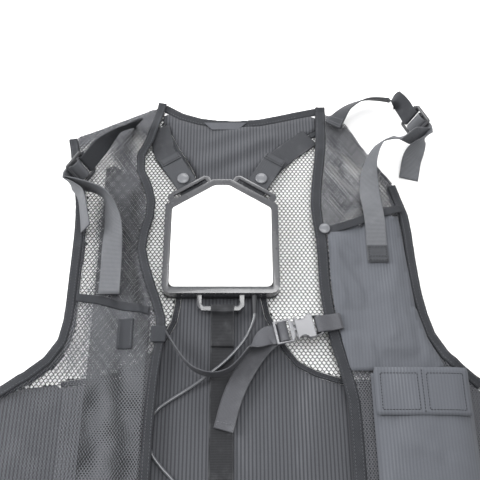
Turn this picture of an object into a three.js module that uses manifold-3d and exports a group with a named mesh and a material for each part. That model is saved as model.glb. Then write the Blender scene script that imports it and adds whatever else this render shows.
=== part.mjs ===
// A mesh work vest with a cooling pod, lying opened on its back: +X to the wearer's left hand side of
// the sheet, +Y to the neck, +Z up from the table. Millimetres.
import * as THREE from 'three';
import { mergeVertices } from 'three/addons/utils/BufferGeometryUtils.js';
import Module from 'manifold-3d';

const wasm = await Module();
wasm.setup();

// Driving dimensions
const chestWidth = 490;      // side seam to side seam, flat
const backLength = 618;      // neck point to hem
const fabric = 1.6;          // one layer of mesh or lining
const gap = 0.3;             // between pieces that touch
const torsoRoom = 10.1;      // height that the fronts arch above the back
const bindingWidth = 10;
const tapeWidth = 6;
const strapWidth = 25;       // suspension, centre and shoulder webbing
const strapThick = 1.4;
const chestStrapWidth = 20;
const podWidth = 123;
const podSide = 103;         // straight side, from the bottom edge to the start of the roof
const podRoof = 32;          // rise of the roof slopes
const podThick = 17;
const bezel = 8;             // frame border round the face plate
const slotLength = 41;
const slotWidth = 5;
const earWidth = 8.5;        // from the roof to the slot's far side, plus the bar
const barWidth = 4;
const loopWidth = 49;        // U-shaped loop under the pod
const loopReach = 17;
const loopWire = 4.8;
const snapDiameter = 13.5;
const lockWidth = 32;
const lockLength = 26;
const lockThick = 3;
const buckleWidth = 24;
const buckleThick = 8;
const leadDiameter = 3.4;
const coilDiameter = 38;     // middle of the turns
const coilBand = 7.6;        // width and height of the wound turns
const pocketDepth = 6.5;
const screwDiameter = 2.4;

// The garment's plan is drawn for these sizes and follows the driving ones
const drawn = { chest: 490, back: 618, pod: 123, inner: 110, centre: -20, waist: -180 };
const podGrowth = (podWidth - drawn.pod) / 2;
const sideScale = (chestWidth / 2 - drawn.inner - podGrowth) / (drawn.chest / 2 - drawn.inner);
const skirtScale = (backLength + 2 * drawn.waist) / (drawn.back + 2 * drawn.waist);

function planX(x) {
  const away = Math.abs(x - drawn.centre);
  const podHalf = drawn.pod / 2;
  let to = away * (1 + podGrowth / podHalf);
  if (away > podHalf) to = away + podGrowth;
  if (away > drawn.inner) to = drawn.inner + podGrowth + (away - drawn.inner) * sideScale;
  return drawn.centre + Math.sign(x - drawn.centre) * to;
}
const planY = (y) => (y > drawn.waist ? y : drawn.waist + (y - drawn.waist) * skirtScale);
const plan = (points) => points.map(([x, y]) => [planX(x), planY(y)]);

// Named lines of the cut, as drawn
const neckCurve = [[-89, 179], [-60, 163], [-20, 156], [22, 158], [60, 167], [91, 174]];
const shoulderLeft = [[-200, 128], [-150, 150], [-89, 179]];
const shoulderRight = [[91, 174], [126, 148], [152, 101], [175, 66]];
const armholeLeft = [
  [-200, 128], [-191, 91], [-180, 30], [-179, -51], [-182, -114], [-206, -145], [-252, -171]];
const armholeRight = [[175, 66], [184, 17], [186, -38], [191, -88], [205, -126], [242, -158]];
const edgeLeft = [[-89, 179], [-101, 120], [-111, 91], [-96, 52], [-95, 22], [-102, -12], [-91, -53],
  [-76, -100], [-81, -150], [-84, -230], [-84, -438]];
const edgeRight = [[91, 174], [88, 115], [79, 40], [83, -7], [84, -62], [90, -111], [101, -156],
  [106, -200], [106, -438]];
const sideLeft = [[-252, -171], [-252, -438]];
const sideRight = [[242, -158], [242, -438]];
const backSeamLeft = [[-91, 150], [-72, 112], [-52, 70], [-60, 0], [-66, -80], [-74, -106], [-92, -132],
  [-123, -150], [-179, -160]];
const backSeamRight = [[92, 140], [44, 108], [18, 70], [20, 0], [25, -71], [34, -100], [55, -136], [83, -151],
  [128, -160], [216, -160]];

// ---------- solids ----------

function toManifold(geometry) {
  const bare = geometry.index ? geometry : geometry.clone();
  for (const name of Object.keys(bare.attributes)) if (name !== 'position') bare.deleteAttribute(name);
  const merged = mergeVertices(bare, 1e-4);
  return new wasm.Manifold(new wasm.Mesh({
    numProp: 3,
    vertProperties: new Float32Array(merged.attributes.position.array),
    triVerts: new Uint32Array(merged.index.array),
  }));
}

function toGeometry(manifold) {
  const mesh = manifold.getMesh();
  const geometry = new THREE.BufferGeometry();
  geometry.setAttribute('position', new THREE.BufferAttribute(new Float32Array(mesh.vertProperties), 3));
  geometry.setIndex(new THREE.BufferAttribute(new Uint32Array(mesh.triVerts), 1));
  return geometry;
}

const joined = (...solids) => solids.reduce((all, next) => all.add(next));

function smooth(points, step = 22) {
  const curve = new THREE.SplineCurve(points.map(([x, y]) => new THREE.Vector2(x, y)));
  return curve.getSpacedPoints(Math.max(2, Math.round(curve.getLength() / step))).map((p) => [p.x, p.y]);
}

function prism(outline, low, high, holes = []) {
  const shape = new THREE.Shape(outline.map(([x, y]) => new THREE.Vector2(x, y)));
  const geometry = new THREE.ExtrudeGeometry(shape, { depth: high - low, bevelEnabled: false });
  const solid = toManifold(geometry.translate(0, 0, low));
  return holes.reduce((rest, hole) => rest.subtract(prism(hole, low - 1, high + 1)), solid);
}

function cylinder(x, y, low, high, radius, sides = 20, topRadius = radius) {
  const geometry = new THREE.CylinderGeometry(topRadius, radius, high - low, sides).rotateX(Math.PI / 2);
  return toManifold(geometry.translate(x, y, (low + high) / 2));
}

function block(x0, x1, y0, y1, z0, z1) {
  const geometry = new THREE.BoxGeometry(x1 - x0, y1 - y0, z1 - z0);
  return toManifold(geometry.translate((x0 + x1) / 2, (y0 + y1) / 2, (z0 + z1) / 2));
}

// A flat strip along a line of the cut: its inner side lies `width` to the left or right of the line
function strip(line, inner, outer) {
  const left = [];
  const right = [];
  line.forEach(([x, y], i) => {
    const [ax, ay] = line[Math.max(0, i - 1)];
    const [bx, by] = line[Math.min(line.length - 1, i + 1)];
    const length = Math.hypot(bx - ax, by - ay);
    const normal = [-(by - ay) / length, (bx - ax) / length];
    left.push([x + normal[0] * inner, y + normal[1] * inner]);
    right.push([x + normal[0] * outer, y + normal[1] * outer]);
  });
  return left.concat(right.reverse());
}

// ---------- the height that the fronts lie at ----------

const seams = [shoulderLeft, shoulderRight, sideLeft, sideRight].map((line) => plan(line));
const seamZone = 45;

function seamDistance(x, y) {
  let best = Infinity;
  for (const line of seams) {
    for (let i = 1; i < line.length; i++) {
      const [ax, ay] = line[i - 1];
      const [bx, by] = line[i];
      const along = ((x - ax) * (bx - ax) + (y - ay) * (by - ay)) / ((bx - ax) ** 2 + (by - ay) ** 2);
      const t = Math.min(1, Math.max(0, along));
      best = Math.min(best, Math.hypot(x - ax - t * (bx - ax), y - ay - t * (by - ay)));
    }
  }
  return best;
}

const seatOnBack = fabric + gap;
function drape(x, y) {
  const t = Math.min(1, seamDistance(x, y) / seamZone);
  return seatOnBack + torsoRoom * t * t * (3 - 2 * t);
}

const cell = 24;
const field = { x0: planX(-268), x1: planX(258), y0: planY(-450), y1: 190 };
const columns = Math.round((field.x1 - field.x0) / cell);
const rows = Math.round((field.y1 - field.y0) / cell);
const spot = (i, j) => [
  field.x0 + (field.x1 - field.x0) * i / columns, field.y0 + (field.y1 - field.y0) * j / rows];

// The curved slab from `low` to `high` above the drape, over the whole garment
function slab(low, high) {
  const vertices = [];
  const faces = [];
  const stride = rows + 1;
  const layer = (columns + 1) * stride;
  for (const lift of [low, high]) {
    for (let i = 0; i <= columns; i++) {
      for (let j = 0; j <= rows; j++) {
        const [x, y] = spot(i, j);
        vertices.push(x, y, drape(x, y) + lift);
      }
    }
  }
  const quad = (a, b, c, d) => faces.push(a, b, c, a, c, d);
  for (let i = 0; i < columns; i++) {
    for (let j = 0; j < rows; j++) {
      const a = i * stride + j;
      const b = a + stride;
      faces.push(a, b + 1, b, a, a + 1, b + 1);
      faces.push(a + layer, b + layer, b + 1 + layer, a + layer, b + 1 + layer, a + 1 + layer);
    }
  }
  for (let i = 0; i < columns; i++) {
    const a = i * stride;
    const b = a + stride;
    quad(a, b, b + layer, a + layer);
    quad(b + rows, a + rows, a + rows + layer, b + rows + layer);
  }
  for (let j = 0; j < rows; j++) {
    const end = columns * stride;
    quad(j + 1, j, j + layer, j + 1 + layer);
    quad(end + j, end + j + 1, end + j + 1 + layer, end + j + layer);
  }
  const geometry = new THREE.BufferGeometry();
  geometry.setAttribute('position', new THREE.BufferAttribute(new Float32Array(vertices), 3));
  geometry.setIndex(faces);
  return toManifold(geometry);
}

const slabs = new Map();
function draped(outline, low, high) {
  const key = `${low} ${high}`;
  if (!slabs.has(key)) slabs.set(key, slab(low, high));
  return slabs.get(key).intersect(prism(outline, -5, 60));
}

// ---------- webbing ----------

// A flat band through stations [x, y, z, across x, across y, across z]
function ribbon(stations, width, thick, steps = 2) {
  const curve = new THREE.CatmullRomCurve3(
    stations.map(([x, y, z]) => new THREE.Vector3(x, y, z)), false, 'centripetal');
  const count = (stations.length - 1) * steps;
  const vertices = [];
  for (let i = 0; i <= count; i++) {
    const u = i / count;
    const place = u * (stations.length - 1);
    const k = Math.min(stations.length - 2, Math.floor(place));
    const from = new THREE.Vector3(...stations[k].slice(3, 6));
    const across = from.lerp(new THREE.Vector3(...stations[k + 1].slice(3, 6)), place - k);
    const tangent = curve.getTangent(u);
    across.addScaledVector(tangent, -across.dot(tangent)).normalize();
    const normal = new THREE.Vector3().crossVectors(tangent, across);
    const middle = curve.getPoint(u);
    for (const [a, n] of [[-1, -1], [1, -1], [1, 1], [-1, 1]]) {
      const corner = middle.clone().addScaledVector(across, a * width / 2);
      corner.addScaledVector(normal, n * thick / 2);
      vertices.push(corner.x, corner.y, corner.z);
    }
  }
  const faces = [0, 1, 2, 0, 2, 3];
  for (let i = 0; i < count; i++) {
    for (let k = 0; k < 4; k++) {
      const a = i * 4 + k;
      const b = i * 4 + (k + 1) % 4;
      faces.push(a, a + 4, b + 4, a, b + 4, b);
    }
  }
  const last = count * 4;
  faces.push(last, last + 2, last + 1, last, last + 3, last + 2);
  const geometry = new THREE.BufferGeometry();
  geometry.setAttribute('position', new THREE.BufferAttribute(new Float32Array(vertices), 3));
  geometry.setIndex(faces);
  const solid = toManifold(geometry);
  if (solid.volume() > 0) return solid;
  for (let i = 0; i < faces.length; i += 3) [faces[i], faces[i + 1]] = [faces[i + 1], faces[i]];
  geometry.setIndex(faces);
  return toManifold(geometry);
}

// ---------- placing ----------

const vest = new THREE.Group();
const looks = {
  ribbed: [0x6e7078, 0.85, 0], mesh: [0x45474c, 0.9, 0], paleMesh: [0x8c8e93, 0.9, 0],
  binding: [0x33353a, 0.8, 0], webbing: [0x6b6c70, 0.75, 0], darkWebbing: [0x4a4c50, 0.8, 0],
  paleWebbing: [0x85858c, 0.75, 0], plastic: [0xb9babf, 0.4, 0], darkPlastic: [0x3c3d42, 0.5, 0],
  frame: [0x84868b, 0.45, 0], face: [0xf4f4f2, 0.35, 0], metal: [0xc4c6c9, 0.3, 0.9],
  board: [0x2e5c44, 0.5, 0], lead: [0x9fa1a6, 0.4, 0.2],
};

function add(name, solid, look) {
  const [color, roughness, metalness] = looks[look];
  const material = new THREE.MeshStandardMaterial({ color, roughness, metalness });
  const mesh = new THREE.Mesh(toGeometry(solid), material);
  mesh.name = name;
  vest.add(mesh);
  return mesh;
}

// ---------- the back, flat on the table ----------

const lines = {
  neck: smooth(plan(neckCurve)), shoulderLeft: plan(shoulderLeft), shoulderRight: plan(shoulderRight),
  armholeLeft: smooth(plan(armholeLeft)), armholeRight: smooth(plan(armholeRight)),
  edgeLeft: smooth(plan(edgeLeft), 20), edgeRight: smooth(plan(edgeRight), 20),
  seamLeft: smooth(plan(backSeamLeft), 20), seamRight: smooth(plan(backSeamRight), 20),
};
const flipped = (points) => points.slice().reverse();
const hemY = planY(-438);
const hem = [[planX(-252), hemY], [planX(242), hemY]];
const backOutline = [...lines.shoulderLeft.slice(0, -1), ...lines.neck, ...lines.shoulderRight.slice(1, -1),
  ...lines.armholeRight, hem[1], hem[0], ...flipped(lines.armholeLeft)];

// Strips that bind an edge: 1 mm outside the cut, the rest inside
const overhang = 1;
const bind = (line, side, extra = 0, width = bindingWidth) =>
  strip(line, side * (overhang + extra), -side * (width - overhang + extra));
const bindings = {
  neck: (e) => bind(lines.neck, 1, e), hem: (e) => bind([hem[0], hem[1]], -1, e),
  armLeft: (e) => bind(lines.armholeLeft, -1, e), armRight: (e) => bind(lines.armholeRight, 1, e),
  edgeLeft: (e) => bind(lines.edgeLeft, 1, e), edgeRight: (e) => bind(lines.edgeRight, -1, e, 12),
};
const cutter = (name) => prism(bindings[name](gap), -5, 60);
const cutSeam = (line, grow) => prism(strip(line, tapeWidth / 2 + grow, -tapeWidth / 2 - grow), -5, 60);

const wholeBack = ['neck', 'hem', 'armLeft', 'armRight']
  .reduce((solid, name) => solid.subtract(cutter(name)), prism(backOutline, 0, fabric));
const outsideLeft = [...lines.seamLeft, [planX(-300), -175], [planX(-300), 220], [planX(-91), 220]];
const outsideRight = [...lines.seamRight, [planX(300), -175], [planX(300), 220], [planX(92), 220]];
const largest = (solid) => solid.decompose().sort((a, b) => b.volume() - a.volume())[0];
const meshAreas = {
  left: prism(outsideLeft, -1, 4).subtract(cutSeam(lines.seamLeft, gap)),
  right: prism(outsideRight, -1, 4).subtract(cutSeam(lines.seamRight, gap)),
};
const tapes = { left: cutSeam(lines.seamLeft, 0), right: cutSeam(lines.seamRight, 0) };
const ribbed = wholeBack.subtract(prism(outsideLeft, -1, 4)).subtract(prism(outsideRight, -1, 4))
  .subtract(cutSeam(lines.seamLeft, gap)).subtract(cutSeam(lines.seamRight, gap));
add('back_panel', largest(ribbed), 'ribbed');
add('back_mesh_left', largest(wholeBack.intersect(meshAreas.left)), 'paleMesh');
add('back_mesh_right', largest(wholeBack.intersect(meshAreas.right)), 'paleMesh');
add('back_seam_tape_left', largest(wholeBack.intersect(tapes.left)), 'binding');
add('back_seam_tape_right', largest(wholeBack.intersect(tapes.right)), 'binding');
add('neck_binding', prism(bindings.neck(0), 0, fabric), 'binding');
add('hem_binding', prism(bindings.hem(0), 0, fabric).subtract(cutter('armLeft')), 'binding');
const neckCut = prism(bindings.neck(gap), -5, 60);
add('back_armhole_binding_left', prism(bindings.armLeft(0), 0, fabric), 'binding');
add('back_armhole_binding_right', prism(bindings.armRight(0), 0, fabric).subtract(neckCut), 'binding');

// ---------- the fronts, arched over the room for the body ----------

function front(outline, edge, arm) {
  return largest(draped(outline, 0, fabric).subtract(cutter(edge)).subtract(cutter(arm)));
}
const leftOutline = [
  ...lines.shoulderLeft.slice(0, -1), ...lines.edgeLeft, hem[0], ...flipped(lines.armholeLeft)];
const rightOutline = [
  ...lines.shoulderRight.slice(0, -1), ...lines.armholeRight, hem[1], ...flipped(lines.edgeRight)];
add('front_panel_left', front(leftOutline, 'edgeLeft', 'armLeft'), 'mesh');
add('front_panel_right', front(rightOutline, 'edgeRight', 'armRight'), 'mesh');
const bindingThick = 2.2;
add('front_edge_binding_left', draped(bindings.edgeLeft(0), 0, bindingThick), 'binding');
add('front_edge_binding_right', draped(bindings.edgeRight(0), 0, bindingThick), 'binding');
add('armhole_binding_left', draped(bindings.armLeft(0), 0, bindingThick), 'binding');
add('armhole_binding_right', draped(bindings.armRight(0), 0, bindingThick), 'binding');

const onFront = fabric + gap;
const over = (thick) => [onFront, onFront + thick];

// Left front: lining under it, a mesh pocket with a bound top, and a small patch
const lining = [
  [-152, 92], [-112, 70], [-104, 40], [-108, -10], [-92, -80], [-92, -150], [-94, -430], [-152, -430]];
add('lining_left', draped(plan(lining), -1.2 - gap, -gap), 'mesh');
const pocketTop = smooth(plan([[-184, -71], [-150, -74], [-125, -80], [-93, -86]]), 20);
const pocketSides = plan([[-94, -130], [-96, -300], [-172, -300], [-171, -136], [-186, -112]]);
const topBand = strip(pocketTop, 4, -5);
const topCut = prism(strip(pocketTop, 4 + gap, -5 - gap), -5, 60);
const armCutLeft = cutter('armLeft');
add('mesh_pocket_left', largest(draped([...pocketTop, ...pocketSides], ...over(1.3)).subtract(topCut)
  .subtract(armCutLeft)), 'mesh');
add('pocket_binding_left', largest(draped(topBand, ...over(2)).subtract(armCutLeft)), 'binding');
const patchLow = onFront + 1.3 + gap;
const patchOutline = plan([[-124, -127], [-108, -127], [-108, -95], [-124, -95]]);
add('pocket_patch_left', draped(patchOutline, patchLow, patchLow + 1.2), 'webbing');

// Right front: a chest pocket with a sagging elastic top, and a lower pocket under a flap
const pocketWall = 1.5;
function puffed(outline, puff, room) {
  const ledge = draped(outline, ...over(pocketWall));
  const shell = draped(puff, onFront, onFront + pocketDepth);
  return joined(ledge, shell).subtract(draped(room, onFront - gap, onFront + pocketDepth - pocketWall));
}
const chestTop = [[88, -9], [131, 6], [158, 15], [172, 22]];
const chestPocket = [...smooth(plan(chestTop), 20),
  ...plan([[176, -30], [180, -84], [196, -120], [222, -142], [104, -142], [96, -108], [90, -62]])];
const chestPuff = plan(
  [[132, 6], [166, 18], [168, -30], [172, -84], [178, -126], [140, -126], [134, -60]]);
const chestRoom = plan(
  [[136, 30], [162, 36], [163, -30], [167, -84], [171, -120], [144, -120], [138, -60]]);
const armCutRight = cutter('armRight');
add('chest_pocket_right', largest(puffed(chestPocket, chestPuff, chestRoom).subtract(armCutRight)
  .subtract(cutter('edgeRight'))), 'ribbed');
const bandThick = 1.4;
const bandWidth = 9;
const bandLow = bindingThick + gap + bandThick / 2;
const bandHigh = onFront + pocketDepth + gap + bandThick / 2;
const bandRoute = [[90, 4, bandLow], [103, 7, bandLow], [118, 10, (bandLow + bandHigh) / 2 + 1],
  [131, 14, bandHigh], [150, 21, bandHigh], [165, 26, bandHigh], [176, 30, bandHigh - 3]];
const bandStations = bandRoute
  .map(([x, y, lift]) => [planX(x), y, drape(planX(x), y) + lift, -0.3, 0.95, 0]);
add('pocket_band_right', ribbon(bandStations, bandWidth, bandThick, 1), 'binding');
const snapSpot = [planX(91.5), 6];
const bandTop = drape(...snapSpot) + bandLow + bandThick / 2;
add('pocket_snap_cap', cylinder(...snapSpot, bandTop + gap, bandTop + gap + 2, 6, 20, 5), 'plastic');

const flapHinge = planY(-147);
const lowerPocket = plan([[128, -150], [226, -150], [226, -330], [128, -330]]);
const lowerPuff = plan([[132, -150], [222, -150], [222, -326], [132, -326]]);
const lowerRoom = plan([[137, -140], [190, -140], [190, -320], [137, -320]]);
add('lower_pocket_right', puffed(lowerPocket, lowerPuff, lowerRoom).subtract(armCutRight), 'ribbed');
const flapLow = onFront + pocketDepth + gap;
const flapOutline = [[planX(130), flapHinge], [planX(223), flapHinge], [planX(223), flapHinge - 46],
  [planX(130), flapHinge - 46]];
add('pocket_flap_right', draped(flapOutline, flapLow, flapLow + 1.6), 'ribbed');

// ---------- the pod ----------

const podX = drawn.centre;
const podLow = -69;                       // bottom edge of the pod
const podEave = podLow + podSide;
const podTop = podEave + podRoof;
const podBase = fabric + gap;
const podCeiling = podBase + podThick;
const apexHalf = 10;
const pentagon = (inset) => {
  const halfWidth = podWidth / 2 - inset;
  const slope = Math.hypot(podWidth / 2 - apexHalf, podRoof);
  const eave = podEave - inset * (slope - podRoof) / (podWidth / 2 - apexHalf);
  const top = podTop - inset;
  const apex = halfWidth - (top - eave) * (podWidth / 2 - apexHalf) / podRoof;
  const corner = Math.max(2, 9 - inset);
  const bottom = podLow + inset;
  const arc = (cx, cy, from) => [0, 1, 2, 3].map((k) => {
    const angle = from + k * Math.PI / 6;
    return [cx + corner * Math.cos(angle), cy + corner * Math.sin(angle)];
  });
  return [...arc(podX - halfWidth + corner, bottom + corner, Math.PI),
    ...arc(podX + halfWidth - corner, bottom + corner, 1.5 * Math.PI),
    [podX + halfWidth, eave], [podX + apex, top], [podX - apex, top], [podX - halfWidth, eave]];
};

const coverTop = podBase + 6;
const frameLow = coverTop + gap;
const plateThick = 2.4;
const plateTop = podCeiling - 0.6;
const plateLow = plateTop - plateThick;
const ledgeTop = plateLow - gap;
const wall = 3;
const roofRun = podWidth / 2 - apexHalf;
const roofAngle = Math.atan2(podRoof, roofRun);
const roofLength = Math.hypot(roofRun, podRoof);
const earZ = [frameLow + 1, frameLow + 4.6];

// Along the roof slope from its lower end, and outwards from it; side is -1 on the left
function onRoof(along, out, side) {
  const x = -podWidth / 2 + along * Math.cos(roofAngle) - out * Math.sin(roofAngle);
  const y = podEave + along * Math.sin(roofAngle) + out * Math.cos(roofAngle);
  return [podX - side * x, y];
}
const slotStart = 14;
function ear(side) {
  const reach = earWidth + barWidth;
  const slotEnd = slotStart + slotLength;
  const outer = [[slotStart - 7, -2], [slotStart - 7, reach - 3], [slotStart - 4, reach],
    [slotEnd + 1, reach], [slotEnd + 5, reach - 4], [slotEnd + 5, -2]];
  const hole = [[slotStart, earWidth - slotWidth], [slotStart, earWidth],
    [slotStart + slotLength, earWidth], [slotStart + slotLength, earWidth - slotWidth]];
  const map = (points) => points.map(([a, o]) => onRoof(a, o, side));
  return prism(map(outer), ...earZ, [map(hole)]);
}
function uLoop() {
  const wire = [frameLow + 0.4, frameLow + 0.4 + loopWire];
  const outer = loopWidth / 2;
  const inner = outer - loopWire;
  const far = podLow - loopReach;
  const shape = [[-outer, podLow + 2], [-outer, far + 5], [-outer + 5, far],
    [outer - 5, far], [outer, far + 5], [outer, podLow + 2],
    [inner, podLow + 2], [inner, far + loopWire + 2], [inner - 2, far + loopWire],
    [-inner + 2, far + loopWire], [-inner, far + loopWire + 2], [-inner, podLow + 2]];
  return prism(shape.map(([x, y]) => [podX + x, y]), ...wire);
}
const screwSpots = [[-1, podLow + 10], [1, podLow + 10], [-1, podEave - 4], [1, podEave - 4]]
  .map(([side, y]) => [podX + side * (podWidth / 2 - 10), y]);
const bossRadius = 3.6;
let ring = prism(pentagon(0), frameLow, podCeiling);
ring = ring.subtract(prism(pentagon(bezel - 1), plateLow - gap, podCeiling + 1));
ring = ring.subtract(prism(pentagon(wall), frameLow - 1, ledgeTop - 2));
ring = ring.subtract(prism(pentagon(bezel + 3), frameLow - 1, podCeiling + 1));
const glandX = podX + 35;
const glandZ = frameLow + 3.4;
const glandRadius = 3;
const gland = (x, y, z, radius0, radius1, length) => {
  const geometry = new THREE.CylinderGeometry(radius0, radius1, length, 16);
  return toManifold(geometry.translate(x, y - length / 2, z));
};
ring = joined(ring, ear(-1), ear(1), uLoop(),
  ...screwSpots.map(([x, y]) => cylinder(x, y, frameLow, ledgeTop - 1, bossRadius, 12)));
for (const [x, y] of screwSpots) {
  ring = ring.subtract(cylinder(x, y, frameLow - 1, frameLow + 5.5, screwDiameter / 2 + 0.1, 10));
}
ring = ring.subtract(gland(glandX, podLow + 8, glandZ, glandRadius + 0.1, glandRadius + 0.1, 12));
add('pod_frame', ring, 'frame');
add('face_plate', prism(pentagon(bezel - 1 + gap), plateLow, plateTop), 'face');

const coverFloor = 1.8;
const fanSpot = [podX, podLow + 42];
const fanRadius = 20;
let cover = prism(pentagon(0), podBase, coverTop);
cover = cover.subtract(prism(pentagon(wall), podBase + coverFloor, coverTop + 1));
for (const k of [-2, -1, 0, 1, 2]) {
  const slotHalf = Math.sqrt(fanRadius ** 2 - (k * 7) ** 2) - 3;
  cover = cover.subtract(block(fanSpot[0] - slotHalf, fanSpot[0] + slotHalf,
    fanSpot[1] + k * 7 - 1.5, fanSpot[1] + k * 7 + 1.5, podBase - 1, podBase + coverFloor + 1));
}
const spindle = 3;
const rotorLow = podBase + coverFloor + 0.9;
cover = joined(cover, cylinder(...fanSpot, podBase, rotorLow + 5, spindle, 16),
  ...screwSpots.map(([x, y]) => cylinder(x, y, podBase, coverTop, bossRadius, 12)));
const headRadius = 2.4;
const headThick = 1.4;
for (const [x, y] of screwSpots) {
  cover = cover.subtract(cylinder(x, y, podBase - 1, coverTop + 1, screwDiameter / 2 + 0.1, 10));
  cover = cover.subtract(cylinder(x, y, podBase - 1, podBase + headThick + gap, headRadius + gap, 12));
}
add('rear_cover', cover, 'darkPlastic');
screwSpots.forEach(([x, y], i) => {
  const shank = cylinder(x, y, podBase + headThick / 2, frameLow + 5, screwDiameter / 2, 10);
  const head = cylinder(x, y, podBase + 0.1, podBase + headThick, headRadius, 12);
  add(`pod_screw_${i + 1}`, joined(shank, head), 'metal');
});

const sinkLow = podBase + coverFloor + gap;
const moduleThick = 3.4;
const sinkTop = plateLow - gap - moduleThick - gap;
const sinkArea = { x0: podX - 32, x1: podX + 32, y0: fanSpot[1] + fanRadius + 3, y1: podEave + 6 };
let sink = block(sinkArea.x0, sinkArea.x1, sinkArea.y0, sinkArea.y1, sinkTop - 2, sinkTop);
const finCount = 9;
for (let i = 0; i < finCount; i++) {
  const x = sinkArea.x0 + (sinkArea.x1 - sinkArea.x0 - 1.2) * i / (finCount - 1);
  sink = sink.add(block(x, x + 1.2, sinkArea.y0, sinkArea.y1, sinkLow, sinkTop - 1));
}
add('heat_sink', sink, 'metal');
const moduleSize = 40;
const moduleY = (sinkArea.y0 + sinkArea.y1 - moduleSize) / 2;
add('thermo_module', block(podX - moduleSize / 2, podX + moduleSize / 2, moduleY, moduleY + moduleSize,
  sinkTop + gap, plateLow - gap), 'face');

const bladeCount = 9;
const rotorTop = rotorLow + 6;
let rotor = cylinder(...fanSpot, rotorLow, rotorTop, 9, 20);
rotor = joined(rotor, cylinder(...fanSpot, rotorLow, rotorLow + 1, fanRadius, 28));
for (let i = 0; i < bladeCount; i++) {
  const blade = new THREE.BoxGeometry(11, 1.2, rotorTop - rotorLow).translate(13, 0, 0)
    .rotateZ(2 * Math.PI * i / bladeCount).translate(fanSpot[0], fanSpot[1], (rotorLow + rotorTop) / 2);
  rotor = rotor.add(toManifold(blade));
}
rotor = rotor.subtract(cylinder(...fanSpot, rotorLow - 1, rotorLow + 5.2 + gap, spindle + gap, 16));
add('fan_rotor', rotor, 'darkPlastic');
const boardSpan = [podX - podWidth / 2 + wall + 1, podX - fanRadius - 4];
add('circuit_board', block(...boardSpan, podLow + 20, sinkArea.y0 - 2, podBase + coverFloor + gap,
  podBase + coverFloor + gap + 1.6), 'board');

// ---------- webbing that carries the pod ----------

const strapBed = fabric + gap + strapThick / 2 + 0.3;
const earUnder = earZ[0] - gap - strapThick / 2;
function suspension(side) {
  const under = onRoof(slotStart + slotLength / 2, 1, side);
  const bar = onRoof(slotStart + slotLength / 2, earWidth + barWidth, side);
  const away = new THREE.Vector2(bar[0] - under[0], bar[1] - under[1]).normalize();
  const across = [away.y, -away.x, 0];
  const out = (distance, z) => [bar[0] + away.x * distance, bar[1] + away.y * distance, z, ...across];
  const start = [under[0], under[1], earUnder, ...across];
  return { start, out };
}
const topLeft = [[planX(-88), 112, strapBed], [planX(-96), 146, strapBed]];
const topRight = [[planX(52), 108, strapBed + 0.4], [planX(82), 132, strapBed + 0.1]];
for (const [name, side, top] of [['left', -1, topLeft], ['right', 1, topRight]]) {
  const s = suspension(side);
  const last = top[top.length - 1];
  const before = top[0];
  const turn = new THREE.Vector2(last[0] - before[0], last[1] - before[1]).normalize();
  const across = [turn.y, -turn.x, 0];
  const between = before.map((value, i) => (i < 2 ? (value + last[i]) / 2 : value));
  const stations = [s.start, s.out(0, earUnder), s.out(8, earUnder), s.out(30, earUnder - 2),
    [...before, ...across], [...between, ...across], [...last, ...across]];
  add(`suspension_strap_${name}`, ribbon(stations, strapWidth, strapThick, 3), 'darkWebbing');
  const flapZ = earUnder + strapThick + gap;
  const flap = ribbon([s.out(gap, flapZ), s.out(12, flapZ), s.out(30, flapZ + 0.2), s.out(44, flapZ + 0.4)],
    strapWidth, strapThick, 1);
  add(`snap_flap_${name}`, flap, 'paleWebbing');
  const cap = s.out(10, 0);
  const capLow = flapZ + strapThick / 2 + gap + 0.1;
  add(`snap_cap_${name}`, cylinder(cap[0], cap[1], capLow, capLow + 2.2, snapDiameter / 2, 24,
    snapDiameter / 2 - 1.2), 'plastic');
}

const loopFar = podLow - loopReach;
const wireLow = frameLow + 0.4;
const wireTop = wireLow + loopWire;
const webAcross = [1, 0, 0];
const wrapGap = strapThick / 2 + gap + 0.1;
const webEnd = planY(-255);
const webStations = [
  [webEnd, strapBed], [-200, strapBed], [-150, strapBed], [-112, strapBed], [loopFar - 12, strapBed + 0.8],
  [loopFar - 3, wireLow - wrapGap - 2], [loopFar + 2, wireLow - wrapGap],
  [loopFar + loopWire + 0.6, wireLow - wrapGap + 0.2],
  [loopFar + loopWire + wrapGap + 0.2, wireLow + 1.2], [loopFar + loopWire + wrapGap + 0.2, wireTop - 1.2],
  [loopFar + loopWire + 0.6, wireTop + wrapGap - 0.2], [loopFar + 2, wireTop + wrapGap],
  [loopFar - 1, wireTop + wrapGap - 0.3], [loopFar - wrapGap - 1.2, wireTop - 1.5],
  [loopFar - 6, wireLow], [loopFar - 18, strapBed + strapThick + 1.8],
  [loopFar - 36, strapBed + strapThick + 0.5]]
  .map(([y, z]) => [podX + 2, y, z, ...webAcross]);
add('centre_webbing', ribbon(webStations, strapWidth - 1, strapThick, 2), 'darkWebbing');

// ---------- shoulder adjusters ----------

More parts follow.
